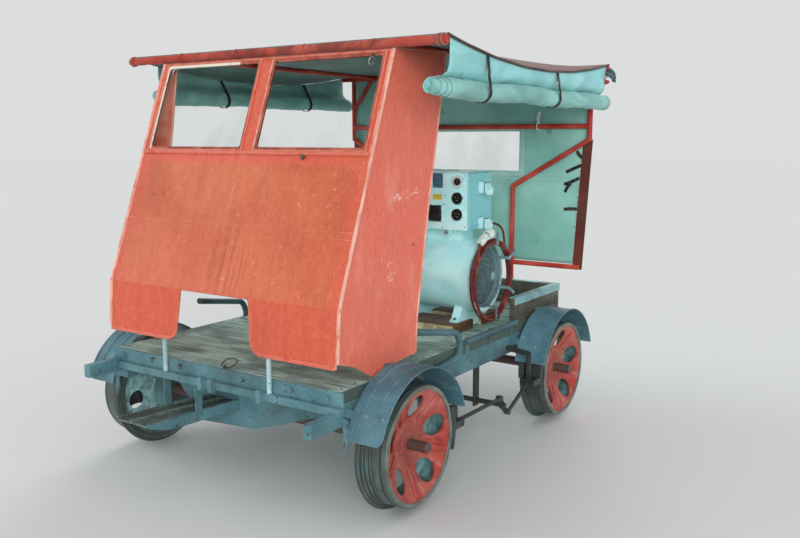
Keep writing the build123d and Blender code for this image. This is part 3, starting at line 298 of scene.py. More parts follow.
def make_piece(name, points, faces, material, body="frame", flat=None):
    """Builds a mesh, merges its doubles, turns its faces outward, shades it smooth where they meet at less
    than flat degrees, and lets it ride on its body."""
    mesh = bpy.data.meshes.new(name)
    mesh.from_pydata(points.reshape(-1, 3).tolist(), [], faces.reshape(-1, 4).tolist())
    work = bmesh.new()
    work.from_mesh(mesh)
    bmesh.ops.remove_doubles(work, verts=work.verts, dist=1e-6)
    bmesh.ops.dissolve_degenerate(work, edges=work.edges, dist=1e-7)
    bmesh.ops.recalc_face_normals(work, faces=work.faces)
    work.to_mesh(mesh)
    work.free()
    mesh.shade_smooth()
    if flat is not None:
        mesh.set_sharp_from_angle(angle=radians(flat))
    mesh.materials.append(material)
    piece = bpy.data.objects.new(name, mesh)
    bpy.context.collection.objects.link(piece)
    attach(piece, body)
    return piece


def skin(name, grid, material, round_u=False, round_v=False, flat=None):
    """A surface over a grid of points, rows by columns."""
    faces = grid_faces(*grid.shape[:2], round_u, round_v)
    return make_piece(name, grid, faces, material, flat=flat)


def turned(profile, start, along, sides=24):
    """Points of a turned shape: each (distance along, radius) of the profile becomes a ring on the line."""
    profile = np.asarray(profile, float)
    way = np.asarray(Vector(along).normalized())
    side = np.cross(way, (0, 0, 1) if abs(way[2]) < 0.9 else (1, 0, 0))
    side = side / np.linalg.norm(side)
    up = np.cross(side, way)
    angle = np.linspace(0, 2 * pi, sides, endpoint=False)
    ring = np.cos(angle)[:, None] * side + np.sin(angle)[:, None] * up
    return np.asarray(start) + profile[:, 0, None, None] * way + profile[:, 1, None, None] * ring


def lathe(name, profile, start, along, material, sides=24, flat=35):
    """A turned piece, closed by a profile that starts and ends on the line, or at one and the same point."""
    return skin(name, turned(profile, start, along, sides), material, round_v=True, flat=flat)


def plug_finish():
    """Grey moulded plug, scuffed pale."""
    look = Finish("plug_finish")
    scuffs = look.clouds(120, 6, 0.5, 0.7)
    color = look.mix(scuffs, tone(166, 192, 186), tone(208, 224, 216))
    return look.done(color, 0.5, look.bump(scuffs, 0.0003))


plug_way = (0.0, 1.0, 0.15)
plug_profile = [(0.0, 0.0), (0.0, 0.0075), (0.012, 0.0085), (0.028, 0.0150)]
for n in range(9):
    grip = 0.030 + 0.0028 * n
    plug_profile += [(grip, 0.0178), (grip + 0.0009, 0.0189), (grip + 0.0018, 0.0178)]
plug_profile += [(0.058, 0.0186), (0.0745, 0.0188), (0.0758, 0.0174)]
plug_profile += [(0.0758, 0.0140), (0.0700, 0.0136), (0.0700, 0.0)]
plug = lathe("plug_body", plug_profile, plug_points[-1], plug_way, plug_finish(), flat=40)
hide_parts("cable_plug")


# Tape: pale cloth tape wound by hand round the plug and its neck, as a repair. It makes a lump of many turns
# along the neck and three bands on the body.
def tape_paint():
    """Fine ribs, greyer where the turns meet, and dirty in clouds."""
    look = Finish("tape_finish")
    ribs = look.noise(1, 3, (40, 420, 420))
    color = look.mix(look.step(ribs, 0.36, 0.62), tone(200, 218, 212), tone(238, 248, 244))
    color = look.lay(color, tone(134, 152, 146), look.clouds(60, 6, 0.46, 0.66), 0.35)
    return look.done(color, 0.8, look.bump(ribs, 0.0008))


tape_finish = tape_paint()
share = np.linspace(0, 1, 25)
neck_start = np.array(plug_points[2])
neck_end = np.array(plug_points[4]) + (0.0, 0.010, 0.002)
neck = neck_start * (1 - share)[:, None] + neck_end * share[:, None]
lump = 0.0165 + 0.0022 * np.sin(share * 24) + 0.0010 * np.sin(share * 61)
lump = (lump * np.sqrt(np.clip(np.minimum(share, 1 - share) * 9, 0, 1)))[:, None]
turn = np.linspace(0, 2 * pi, 20, endpoint=False)
winding = np.stack([1.1 * lump * np.cos(turn), -0.5 * lump * np.sin(turn), 0.9 * lump * np.sin(turn)], -1)
tapes = [skin("plug_tape", neck[:, None] + winding, tape_finish, round_v=True, flat=60)]
band_profile = [(-0.006, 0.0165), (-0.006, 0.0205), (-0.003, 0.0232), (0.001, 0.0226)]
band_profile += [(0.004, 0.0236), (0.006, 0.0205), (0.006, 0.0165), (-0.006, 0.0165)]
for n, middle in enumerate((0.0230, 0.0395, 0.0545)):
    band = [(middle + along, radius) for along, radius in band_profile]
    tape = lathe(f"plug_tape_band_{n}", band, plug_points[-1], plug_way, tape_finish, flat=60)
    tapes.append(tape)


# Wheelsets: forged axles, rolled steel tyres and welded double discs. The outer discs are pressed into a dish
# with five round holes and painted red, the inner ones are pale blue. They turn together on the axle.
axle_low, axle_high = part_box("front_axle")
wheel_y = abs(axle_low.y + axle_high.y) / 2
wheel_z = (axle_low.z + axle_high.z) / 2
hub_face_x = 0.747
rivet_ring_r = 0.064
rivet_count = 8


def wheel_rounds(look):
    """Distance from the wheel's middle and angle round it, the same for the front and the rear axle."""
    y = look.calc("SUBTRACT", look.calc("ABSOLUTE", look.axis("Y")), wheel_y)
    z = look.calc("SUBTRACT", look.axis("Z"), wheel_z)
    return look.calc("SQRT", look.squares(y, z)), look.calc("ARCTAN2", z, y)


def tyre_finish():
    """Rolled steel: fine rings round the dark tread, a paler rubbed lip on the outer side, dusty flange, and
    dirty pale blue paint on the inner side of the ring."""
    look = Finish("tyre_finish", metallic=0.25)
    far, turn = wheel_rounds(look)
    ring_place = look.at(look.times(look.axis("X"), 150), look.times(far, 90), look.times(turn, 0.7))
    rings = look.noise(1, 3, place=ring_place)
    color = look.mix(look.step(rings, 0.38, 0.62), tone(48, 64, 64), tone(100, 122, 118))
    color = look.lay(color, tone(138, 146, 134), look.step(look.aside(), 0.8025, 0.8042), 0.75)
    color = look.lay(color, tone(84, 74, 64), look.clouds(14, 6, 0.40, 0.66), 0.55)
    paint = look.mix(look.clouds(20, 6, 0.36, 0.66), tone(132, 168, 170), tone(92, 112, 110))
    color = look.lay(color, paint, look.step(far, 0.2228, 0.2222))
    return look.done(color, 0.5, look.bump(rings, 0.0010))


def disc_finish():
    """Red paint outside and pale blue inside: dusty clouds, darker towards the hub, thin runs from the hub
    outward, chips with rust. What faces inward behind the red disc is painted dark, as shade between the two
    discs."""
    look = Finish("disc_finish")
    far, turn = wheel_rounds(look)
    runs = look.noise(1, 4, place=look.at(look.times(turn, 6), look.times(far, 9), 0.0))
    mottle = look.noise(30, 7)
    red = look.mix(look.clouds(9, 6, 0.36, 0.66, warp=0.6), tone(170, 64, 54), tone(190, 98, 88))
    red = look.lay(red, tone(222, 160, 148), look.step(runs, 0.50, 0.72), 0.30)
    red = look.lay(red, tone(120, 58, 48), look.step(mottle, 0.56, 0.70), 0.65)
    red = look.lay(red, tone(112, 56, 48), look.step(far, 0.118, 0.060), 0.35)
    # The back of the red disc is painted near black: painted shade between the two discs.
    inward = look.step(look.times(look.facing("X"), look.axis("X")), -0.05, -0.30)
    blue = look.mix(look.step(mottle, 0.36, 0.66), tone(156, 204, 206), tone(112, 142, 140))
    inner_disc = look.step(look.aside(), 0.733, 0.727)
    color = look.lay(look.lay(red, tone(52, 56, 54), inward), blue, inner_disc)
    color = look.lay(color, tone(104, 72, 60), look.clouds(64, 8, 0.655, 0.69), 0.8)
    grime = look.times(look.clouds(6, 5, 0.50, 0.72), 0.30)
    color = look.lay(color, tone(92, 82, 74), grime)
    return look.done(color, look.calc("ADD", 0.36, grime), look.bump(look.noise(46, 6), 0.0009))


def axle_finish():
    """Turned shaft end, brown with rust and grease."""
    look = Finish("axle_finish", metallic=0.3)
    rust = look.clouds(46, 7, 0.40, 0.62)
    return look.done(look.mix(rust, tone(96, 92, 92), tone(112, 74, 60)), 0.5, look.bump(rust, 0.0006))


def dress(material, *nodes):
    """Gives CAD nodes their finish."""
    for node in nodes:
        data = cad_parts[node].data
        data.materials.clear()
        data.materials.append(material)


def stamped(name, shape, places, ways, material, body="frame", flat=None):
    """Copies of one small turned shape, a grid of (rows, sides) built along +Z, at each place and way."""
    rows, sides = shape.shape[:2]
    places = np.asarray(places, float)
    ways = np.broadcast_to(np.asarray(ways, float), places.shape)
    ways = ways / np.linalg.norm(ways, axis=1, keepdims=True)
    hint = np.where(np.abs(ways[:, 2:]) < 0.9, [[0.0, 0.0, 1.0]], [[1.0, 0.0, 0.0]])
    side = np.cross(ways, hint)
    side = side / np.linalg.norm(side, axis=1, keepdims=True)
    turn = np.stack([side, np.cross(ways, side), ways], 1)
    points = np.einsum("gk,nkc->ngc", shape.reshape(-1, 3), turn) + places[:, None, :]
    faces = grid_faces(rows, sides, round_v=True) + np.arange(len(places))[:, None, None] * rows * sides
    return make_piece(name, points, faces, material, body, flat)


def dome(radius, height, sides=10):
    """A rivet or nail head: a low dome on its flat, from the rim to the pole."""
    angle = np.linspace(0, pi / 2, 4)
    profile = [(-0.001, 0.0), (-0.001, radius)] + [(height * sin(a), radius * cos(a)) for a in angle]
    return turned(profile, (0, 0, 0), (0, 0, 1), sides)


def hexagon(radius, height):
    """A bolt head: six sides, with a chamfered edge."""
    profile = [(-0.001, 0.0), (-0.001, radius), (height * 0.8, radius)]
    profile += [(height, radius * 0.86), (height, 0.0)]
    return turned(profile, (0, 0, 0), (0, 0, 1), 6)


def hoop(x, y, z, radius, count, first=0.0):
    """Points of a circle that faces along X, from +Y up over +Z."""
    turn = first + np.linspace(0, 2 * pi, count, endpoint=False)
    return np.stack([x + 0 * turn, y + radius * np.cos(turn), z + radius * np.sin(turn)], -1)


dress(tyre_finish(), "front_tyres", "rear_tyres")
disc_paint = disc_finish()
dress(disc_paint, "front_wheel_discs", "rear_wheel_discs")
dress(axle_finish(), "front_axle", "rear_axle")
for end, way in (("front", -1), ("rear", 1)):
    ring = hoop(0.0, way * wheel_y, wheel_z, rivet_ring_r, rivet_count, 0.2)
    places = np.concatenate([ring + (side * hub_face_x, 0, 0) for side in (-1, 1)])
    ways = np.repeat([(-1, 0, 0), (1, 0, 0)], rivet_count, axis=0)
    rivet = dome(0.006, 0.0045)
    stamped(f"{end}_hub_rivets", rivet, places, ways, disc_paint, f"{end}_wheelset")


# Underframe: two long steel sills, channels across them and a folded plate with a ledge at each end, welded
# and riveted. Its blue-grey paint is thin, oily and rusty, and bare along the edges that people step on.
def worn_edges(look, width):
    """Where an edge is: there the normal, averaged over a small width, turns away from the true one."""
    rounded = look.node("Bevel", {"Radius": width}, samples=4)
    true = look.node("NewGeometry")
    both = {0: rounded.outputs["Normal"], 1: true.outputs["Normal"]}
    meet = look.node("VectorMath", both, operation="DOT_PRODUCT")
    return look.step(meet.outputs["Value"], 0.985, 0.90)


def worn_paint(
    name, fresh, faded, under, wear=0.5, grime=0.4, size=1.0, shine=0.5, edge=0.004, metallic=0.0, extra=None,
):
    """Old paint: clouds of fresh and faded colour, chips and worn edges down to what is under, and dirt."""
    look = Finish(name, metallic)
    color = look.mix(look.clouds(4.5 * size, 6, 0.36, 0.66), tone(*fresh), tone(*faded))
    color = look.lay(color, tone(*faded, 1.2), look.clouds(75 * size, 5, 0.4, 0.7), 0.35)
    if extra is not None:
        color = extra(look, color)
    fine = look.noise(42 * size, 8)
    chips = look.step(fine, 0.74 - 0.12 * wear, 0.77 - 0.12 * wear)
    rubbed = look.times(worn_edges(look, edge), look.step(fine, 0.58 - 0.2 * wear, 0.66 - 0.2 * wear))
    bare = look.calc("MAXIMUM", chips, rubbed)
    dirt = look.times(look.clouds(2.6 * size, 6, 0.40, 0.74, warp=0.8), grime)
    color = look.lay(look.lay(color, tone(*under), bare), tone(62, 56, 48), dirt)
    rough = look.calc("ADD", shine, look.times(dirt, 0.35))
    return look.done(color, rough, look.bump(bare, 0.0004, look.bump(look.noise(260 * size, 3), 0.0003)))


frame_finish = worn_paint(
    "frame_finish", (76, 118, 128), (102, 146, 154), (84, 72, 62), wear=0.7, grime=0.65, shine=0.45,
)
frame_nodes = ("side_sills", "cross_channels", "end_beams", "guard_irons", "box_guides", "fender_stays")
dress(frame_finish, *frame_nodes, "shield_plate", "step_irons")
cast_finish = worn_paint(
    "cast_finish", (62, 76, 80), (86, 100, 102), (92, 72, 58), wear=0.6, grime=0.8, size=1.6, shine=0.6,
)
dress(cast_finish, "axle_boxes")
# Brake gear: painted dark as the shade that hides it behind the wheels, with dirt and chips on top.
brake_shade_finish = worn_paint(
    "brake_shade_finish", (40, 48, 50), (62, 72, 74), (92, 66, 50), wear=0.8, grime=0.7, size=2.0, shine=0.4,
)
dress(brake_shade_finish, "brake_shoes", "brake_hangers", "brake_shaft", "brake_rods")
step_finish = worn_paint(
    "step_finish", (70, 84, 84), (98, 112, 108), (158, 172, 166), wear=0.75, grime=0.7, size=2.2, edge=0.006,
)
dress(step_finish, "step_slats")
rubber = Finish("spring_finish")
rubber_color = rubber.mix(rubber.clouds(40, 4, 0.4, 0.7), tone(34, 34, 34), tone(66, 62, 58))
dress(rubber.done(rubber_color, 0.7, rubber.bump(rubber.noise(300), 0.0003)), "box_springs")


# Bolts of the underframe: steel, with hexagon heads, painted over. They hold the end plates to the sills, the
# cross channels in the sills' sides and the guides of the axle boxes.
beam_face_y, beam_bolt_z = 0.983, 0.502
beam_bolt_x = (-0.58, -0.40, -0.22, 0.14, 0.40, 0.58)
sill_face_x, sill_bolt_z = 0.640, 0.439
sill_bolt_y = (-0.86, -0.42, 0.0, 0.42, 0.86)
guide_half, guide_bolt_z = 0.066, (0.235, 0.365)
bolts = []
for way in (-1, 1):
    bolts += [((x, way * beam_face_y, beam_bolt_z), (0, way, 0)) for x in beam_bolt_x]
for side in (-1, 1):
    bolts += [((side * sill_face_x, y, sill_bolt_z), (side, 0, 0)) for y in sill_bolt_y]
    guide_y = [way * wheel_y + off for way in (-1, 1) for off in (-guide_half, guide_half)]
    bolts += [((side * sill_face_x, y, z), (side, 0, 0)) for y in guide_y for z in guide_bolt_z]
bolt_places, bolt_ways = zip(*bolts)
stamped(
    "underframe_bolts", hexagon(0.011, 0.009), bolt_places, bolt_ways, frame_finish, flat=30,
)


# Deck: twelve fir planks across the sills, each nailed down twice at both sills and in the middle, grey-green
# with weather and oil. The tray behind is of the same boards, set on edge and darker.
def timber(name, light, dark, dirt, along, across, board, start=0.0, worn=0.5, half=None):
    """Sawn timber: long fibres along one axis, a tone of its own for each board across another, cracks, and
    dirt trodden in. Boards that end at half to either side are dark on their sawn ends."""
    look = Finish(name)
    stretch = {"X": (0.035, 1, 1), "Y": (1, 0.035, 1)}[along]
    count = look.calc("FLOOR", look.calc("DIVIDE", look.calc("SUBTRACT", look.axis(across), start), board))
    own = look.noise(1, 0, place=look.at(look.times(count, 3.7), look.times(count, 1.9), 0.5))
    fibre = look.noise(150, 7, stretch, 0.3)
    color = look.mix(look.clouds(26, 3, 0.34, 0.66, stretch, 1.2), tone(*light), tone(*dark))
    color = look.lay(color, tone(*dark, 0.7), look.step(fibre, 0.45, 0.68), 0.6)
    color = look.lay(color, tone(*light, 1.15), look.step(own, 0.3, 0.7), 0.4)
    crack = look.clouds(58, 4, 0.655, 0.69, stretch, 0.4)
    color = look.lay(color, tone(34, 30, 24), crack, 0.8)
    color = look.lay(color, tone(*dirt), look.clouds(11, 8, 0.46, 0.62, (0.5, 1, 1)), 0.5)
    color = look.lay(color, tone(*dirt), look.clouds(3.4, 6, 0.42, 0.68), 0.8 * worn)
    if half is not None:
        color = look.lay(color, tone(*dirt, 1.3), look.step(look.aside(), half - 0.008, half))
    return look.done(color, 0.78, look.bump(crack, -0.0016, look.bump(fibre, 0.0007)))


planks, plank_gap = 12, 0.004
deck_low, deck_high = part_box("deck_planks")
# The deck's colours are painted lighter than the timber: painted light, for the light that reaches it under
# the roof.
deck_colors_lit = ((198, 226, 216), (148, 176, 166), (72, 88, 84))
deck_finish = timber("deck_finish", *deck_colors_lit, "X", "Y", 0.1625, deck_low.y, 0.6, half=0.638)
dress(deck_finish, "deck_planks")
tray_colors = ((116, 112, 98), (78, 76, 68), (52, 54, 50))
dress(timber("tray_finish", *tray_colors, "Y", "Z", 0.066), "tray_boards")
plank_pitch = (deck_high.y - deck_low.y + plank_gap) / planks
nail_y = deck_low.y - plank_gap / 2 + plank_pitch * (np.arange(planks)[:, None] + (0.24, 0.76))
nail_x, nail_y = np.meshgrid((-0.607, 0.0, 0.607), nail_y.ravel(), indexing="ij")
nails = np.stack([nail_x, nail_y, np.full(nail_x.shape, deck_high.z)], -1).reshape(-1, 3)
nail_finish = worn_paint(
    "nail_finish", (92, 78, 66), (70, 60, 54), (120, 104, 92), size=4, shine=0.55, metallic=0.3,
)
stamped("deck_nails", dome(0.0055, 0.0016, 8), nails, (0, 0, 1), nail_finish)


# Ring handle let into the deck's front, by which a plank is lifted: round iron, rusty, lying aslant against
# the eye that holds it to the plank.
def rope(name, points, thick, material, sides=8, closed=False, flatten=1.0, up=(0, 0, 1)):
    """A round or flattened bar along a path: a ring of points in the plane across the path at each of its
    points, squeezed by flatten across the side that up points to."""
    points = np.asarray(points, float)
    run = np.roll(points, -1, 0) - np.roll(points, 1, 0) if closed else np.gradient(points, axis=0)
    run /= np.linalg.norm(run, axis=1, keepdims=True)
    side = np.cross(run, np.asarray(up, float))
    side /= np.maximum(np.linalg.norm(side, axis=1, keepdims=True), 1e-9)
    lift = np.cross(side, run)
    angle = np.linspace(0, 2 * pi, sides, endpoint=False)[:, None]
    ring = np.cos(angle) * side[:, None] + flatten * np.sin(angle) * lift[:, None]
    grid = points[:, None] + ring * thick / 2
    if not closed:
        grid = capped(grid)
    return skin(name, grid, material, round_u=closed, round_v=True, flat=50)


def capped(grid):
    """Closes a run of sections: at both ends the section is joined to its own middle."""
    first, last = (end.mean(1, keepdims=True).repeat(grid.shape[1], 1) for end in (grid[:1], grid[-1:]))
    return np.concatenate([first, grid, last])


ring_x, ring_y, eye_y = 0.035, -0.945, -0.971
ring_iron = 0.005
turn = np.linspace(0, 2 * pi, 36, endpoint=False)
ring_z = deck_high.z + 0.0165 + 0.014 * np.sin(turn)
ring = np.stack([ring_x + 0.034 * np.cos(turn), ring_y + 0.026 * np.sin(turn), ring_z], -1)
rope("deck_ring", ring, ring_iron, nail_finish, closed=True, up=(0, 0.6, 1))
eye_out = 0.007 * np.cos(np.linspace(-0.4, pi + 0.4, 14))
eye_up = 0.009 * np.sin(np.linspace(-0.1, pi + 0.1, 14))
eye = np.stack([np.full(14, ring_x), eye_y + eye_out, deck_high.z + 0.001 + eye_up], -1)
rope("deck_ring_eye", eye, ring_iron, nail_finish, up=(1, 0, 0))


# Front screen and side panels: folded sheet with a wire rolled into its free edges, painted orange-red, faded
# and stained by rain. The panels are welded to the screen's edges; paint has worn pale along rolled edges,
# and they are painted pale there as a highlight too.
def oval(look, across, middle, half, soft):
    """1 inside an oval that is seen along the third axis, fading from soft of its size out to its outline."""
    a = look.calc("DIVIDE", look.calc("SUBTRACT", look.axis(across), middle[0]), half[0])
    b = look.calc("DIVIDE", look.calc("SUBTRACT", look.axis("Z"), middle[1]), half[1])
    return look.step(look.squares(a, b), 1.0, soft)


def screen_paint():
    """Faded orange-red paint: paler towards the foot, redder at the edges and on the side panels, long
    vertical run marks under the windows, scuffs, chips and worn edges."""
    look = Finish("screen_finish")
    crease_z, window_z = (0.843, 0.832), (1.345, 1.362)
    panels = look.step(look.aside(), 0.6345, 0.6375)
    color = look.mix(look.clouds(3.2, 6, 0.34, 0.68, warp=0.5), tone(196, 90, 54), tone(208, 108, 70))
    color = look.lay(color, tone(180, 80, 50), look.clouds(13, 6, 0.42, 0.72, (1, 1, 0.10), 0.3), 0.40)
    color = look.lay(color, tone(222, 116, 80), look.step(look.axis("Z"), 1.25, 0.72), 0.55)

    uneven_side = look.calc("ADD", look.aside(), look.times(look.noise(5, 4), 0.10))
    redder = look.step(uneven_side, 0.58, 0.68)
    for limits in (crease_z, window_z):
        redder = look.calc("MAXIMUM", redder, look.step(look.axis("Z"), *limits))
    color = look.lay(color, tone(218, 86, 68), redder, 0.62)

    drips = look.calc("SUBTRACT", look.noise(34, 4, (1, 0.05, 0.05)), panels)
    run_marks = look.times(look.step(drips, 0.46, 0.66), oval(look, "X", (0.04, 0.97), (0.13, 0.17), 0.2))
    color = look.lay(color, tone(160, 68, 46), run_marks, 0.42)
    color = look.lay(color, tone(160, 68, 46), look.step(drips, 0.48, 0.66), 0.16)
    color = look.lay(color, tone(242, 124, 106), panels, 0.75)

    mottle = look.noise(60, 8, (1, 1, 0.6))
    color = look.lay(color, tone(172, 78, 48), look.step(mottle, 0.48, 0.66), 0.16)
    color = look.lay(color, tone(232, 140, 106), look.step(mottle, 0.50, 0.36), 0.14)
    bleached = look.times(panels, look.clouds(9, 7, 0.50, 0.68, (1, 1, 0.4)))
    color = look.lay(color, tone(250, 166, 150), bleached, 0.35)
    color = look.lay(color, tone(236, 186, 164), look.clouds(70, 8, 0.665, 0.69), 0.30)

    long_marks = look.calc("ADD", look.noise(26, 3, (1, 3.2, 0.35), 1.5), look.times(panels, 0.012))
    scratch = look.step(long_marks, 0.725, 0.745)
    right_panel = look.step(look.axis("X"), 0.634, 0.637)
    for middle, half in (
        ((-0.60, 1.225), (0.075, 0.022)), ((-0.50, 1.246), (0.06, 0.018)), ((-0.655, 0.94), (0.04, 0.05)),
    ):
        near = look.times(oval(look, "Y", middle, half, 0.3), right_panel)
        mark = look.times(near, look.clouds(70, 5, 0.50, 0.58, (1, 0.5, 1.4)))
        scratch = look.calc("MAXIMUM", scratch, look.times(mark, 1.4))
    color = look.lay(color, tone(244, 208, 192), scratch, 0.45)

    rubbed = look.times(worn_edges(look, 0.007), look.clouds(24, 6, 0.32, 0.50))
    rubbed = look.times(rubbed, look.calc("ADD", 0.25, look.times(redder, 0.55)))
    color = look.lay(color, tone(240, 176, 158), rubbed)
    seam = look.times(look.step(look.aside(), 0.629, 0.632), look.calc("SUBTRACT", 1.0, panels))
    color = look.lay(color, tone(244, 190, 172), look.times(seam, look.clouds(9, 5, 0.36, 0.52)), 0.75)
    dirt = look.times(look.clouds(2.1, 7, 0.46, 0.78, warp=0.4), 0.16)
    color = look.lay(color, tone(128, 82, 62), dirt)
    color = look.lay(color, tone(112, 58, 40), look.clouds(11, 8, 0.71, 0.75), 0.7)
    dents = look.bump(look.noise(2.4, 2), 0.006, look.bump(look.noise(320, 3), 0.0003))
    return look.done(color, look.calc("ADD", 0.42, dirt), dents)


screen_finish = screen_paint()
dress(screen_finish, "front_screen", "side_panels")
post_finish = worn_paint(
    "post_finish", (150, 200, 206), (190, 216, 220), (96, 104, 104), wear=0.6, grime=0.3, size=2,
)
dress(post_finish, "screen_posts")
tube_blue_finish = worn_paint(
    "tube_blue_finish", (58, 90, 98), (84, 120, 128), (120, 128, 124),
    wear=0.6, grime=0.5, size=1.6, shine=0.35,
)
dress(tube_blue_finish, "side_tubes")
rail_finish = worn_paint(
    "rail_finish", (120, 164, 170), (156, 206, 210), (98, 84, 74), wear=0.7, grime=0.55, size=1.6,
)
dress(rail_finish, "tray_rails")


# Window rubbers and panes: each flat pane sits in a rubber strip bedded in putty. Much of the rubber is
# painted over red. Along the top and the outer side of the left window it is white, partly putty and partly a
# painted highlight.
def seal_paint():
    """Rubber with red paint on it in clouds, dark where that has cracked off, white as putty and painted
    highlight.
    """
    look = Finish("seal_finish")
    color = look.mix(look.clouds(14, 6, 0.40, 0.62), tone(150, 74, 58), tone(184, 104, 84))
    color = look.lay(color, tone(74, 60, 54), look.clouds(46, 6, 0.60, 0.68))
    top_edge = look.step(look.axis("Z"), 1.758, 1.764)
    outer_edge = look.step(look.axis("X"), -0.592, -0.598)
    # White along the top and outer edges of the left window: partly putty, partly a painted highlight.
    putty_and_glint = look.times(look.calc("MAXIMUM", top_edge, outer_edge), look.step(look.axis("X"), -0.150, -0.165))
    color = look.lay(color, tone(232, 226, 210), look.times(putty_and_glint, look.clouds(20, 6, 0.34, 0.46)))
    return look.done(color, 0.7, look.bump(look.noise(120, 5), 0.0008))


dress(seal_paint(), "window_rubbers")
glass = Finish("pane_finish")
glass.shader.inputs["Transmission Weight"].default_value = 1.0
glass.shader.inputs["IOR"].default_value = 1.02
glass_dust = glass.clouds(5, 7, 0.44, 0.72, (1, 1, 0.5))
glass_color = glass.mix(glass_dust, tone(250, 253, 252), tone(232, 240, 236))
dress(glass.done(glass_color, glass.times(glass_dust, 0.05)), "window_panes")


# Roof: a round bar in front, two rails to the rear frame, and one sheet of reddish-brown canvas laced over
# them, grey-green below and painted darker there as shade. It lies flat between the rails and its side edges
# hang in a long curve.
roof_low, roof_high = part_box("roof_canvas")
rail_x = 0.600
cloth_thick = 0.0045
threads_each_metre = 900


def cloth_finish(name, main, pale, stain, dust=0.5, crease=1.0):
    """Canvas: two crossed threads, soft clouds of wear, creases with dust in them, and a few hard stains."""
    look = Finish(name)
    folds = look.noise(11, 5, (1, 0.35, 1), 0.5)
    color = look.mix(look.clouds(3.6, 7, 0.34, 0.66), tone(*main), tone(*pale))
    color = look.lay(color, tone(*stain), look.step(folds, 0.42, 0.62), 0.30 * crease)
    color = look.lay(color, tone(*pale, 1.12), look.clouds(120, 6, 0.62, 0.70), dust)
    color = look.lay(color, tone(*stain, 0.7), look.clouds(9, 7, 0.665, 0.72), 0.5)
    x, y, z = (look.calc("SINE", look.times(look.axis(letter), threads_each_metre * pi)) for letter in "XYZ")
    woven = look.times(look.calc("ADD", x, z), y)
    return look.done(color, 0.86, look.bump(woven, 0.00006, look.bump(folds, 0.004 * crease)), sheen=0.15)


def two_sided(piece, outer, inner, thick, offset=1.0):
    """Gives a sheet its thickness, with the outer finish on one face and the inner one on the other."""
    piece.data.materials.clear()
    piece.data.materials.append(outer)
    piece.data.materials.append(inner)
    shell = piece.modifiers.new("thickness", "SOLIDIFY")
    shell.thickness = thick
    shell.offset = offset
    shell.material_offset = 1
    shell.material_offset_rim = 1


red_tube_finish = worn_paint(
    "red_tube_finish", (178, 44, 34), (206, 84, 68), (96, 50, 40), wear=0.55, grime=0.4, size=1.5, shine=0.38,
)
dress(red_tube_finish, "roof_bars", "rear_frame")
roof_finish = cloth_finish("roof_finish", (98, 54, 48), (124, 76, 66), (64, 38, 36))
# The underside's grey-green is painted darker than the canvas: painted shade under the roof.
roof_underside_shade_finish = cloth_finish("roof_underside_shade_finish", (84, 116, 112), (104, 138, 134), (62, 86, 82))
over_roof = [np.linspace(-1, -0.69, 14), np.linspace(-0.68, 0.68, 30), np.linspace(0.69, 1, 14)]
share, across = np.meshgrid(np.linspace(0, 1, 90), np.concatenate(over_roof), indexing="ij")
roof_x = across * roof_high.x
roof_y = roof_low.y + 0.002 + share * (roof_high.y - roof_low.y - 0.004)
sag = 4 * share * (1 - share)
hang = np.clip((np.abs(roof_x) - rail_x) / (roof_high.x - rail_x), 0, 1)
edge_sag = roof_high.z - cloth_thick - (roof_low.z + 0.002)
ripple = 0.0022 * np.sin(roof_y * 23 + 2 * np.sin(roof_x * 5)) * np.sin(roof_x * 9 + 1) * sag
roof_z = roof_high.z - 0.0012 - 0.001 * sag - edge_sag * sag * hang ** 1.15 + ripple * (0.35 + hang)
roof_z = np.minimum(roof_z, roof_high.z + 0.004)
roof_grid = np.stack([roof_x, roof_y, roof_z], -1)
roof = skin("roof_sheet", roof_grid, roof_finish)
two_sided(roof, roof_finish, roof_underside_shade_finish, cloth_thick, -1.0)
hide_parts("roof_canvas")


# Hem of the roof sheet: the canvas turned up over a cord and sewn along both hanging edges. It is dark with
# dirt from the hands that roll the curtains.
hem_finish = cloth_finish("hem_finish", (62, 48, 46), (92, 74, 68), (40, 30, 30))
for name, column in (("left_hem", 0), ("right_hem", -1)):
    line = roof_grid[:, column] + (0, 0, -0.002)
    rope(f"roof_{name}", line, 0.009, hem_finish, sides=7)


# Front roll of the roof cloth: red canvas wound once round the front bar, and tied there with six turns of
# the same cloth. It is creased and has gone pale on top.
bar_y, bar_z = -0.631, 1.813
wrap_half = 0.866
wrap_finish = cloth_finish("wrap_finish", (168, 54, 42), (186, 84, 68), (84, 46, 40), dust=0.35, crease=2.0)
wrap_turn = np.linspace(0, 2 * pi, 24, endpoint=False)
wrap_x, wrap_turn = np.meshgrid(np.linspace(-wrap_half, wrap_half, 150), wrap_turn, indexing="ij")
wrap_r = 0.0186 + 0.0008 * np.sin(wrap_x * 31 + wrap_turn * 2) + 0.0006 * np.sin(wrap_x * 83 + wrap_turn)
wrap_grid = np.stack([wrap_x, bar_y + wrap_r * np.cos(wrap_turn), bar_z + wrap_r * np.sin(wrap_turn)], -1)
wrap = skin("bar_wrap", wrap_grid, wrap_finish, round_v=True)
two_sided(wrap, wrap_finish, wrap_finish, 0.0012, -1.0)
for n, x in enumerate((-0.845, -0.52, -0.18, 0.20, 0.55, 0.835)):
    ring = hoop(x + 0.004 * np.sin(np.arange(20)), bar_y, bar_z, 0.0205, 20)
    rope(f"bar_tie_{n}", ring, 0.0045, wrap_finish, closed=True, up=(1, 0, 0), sides=6)


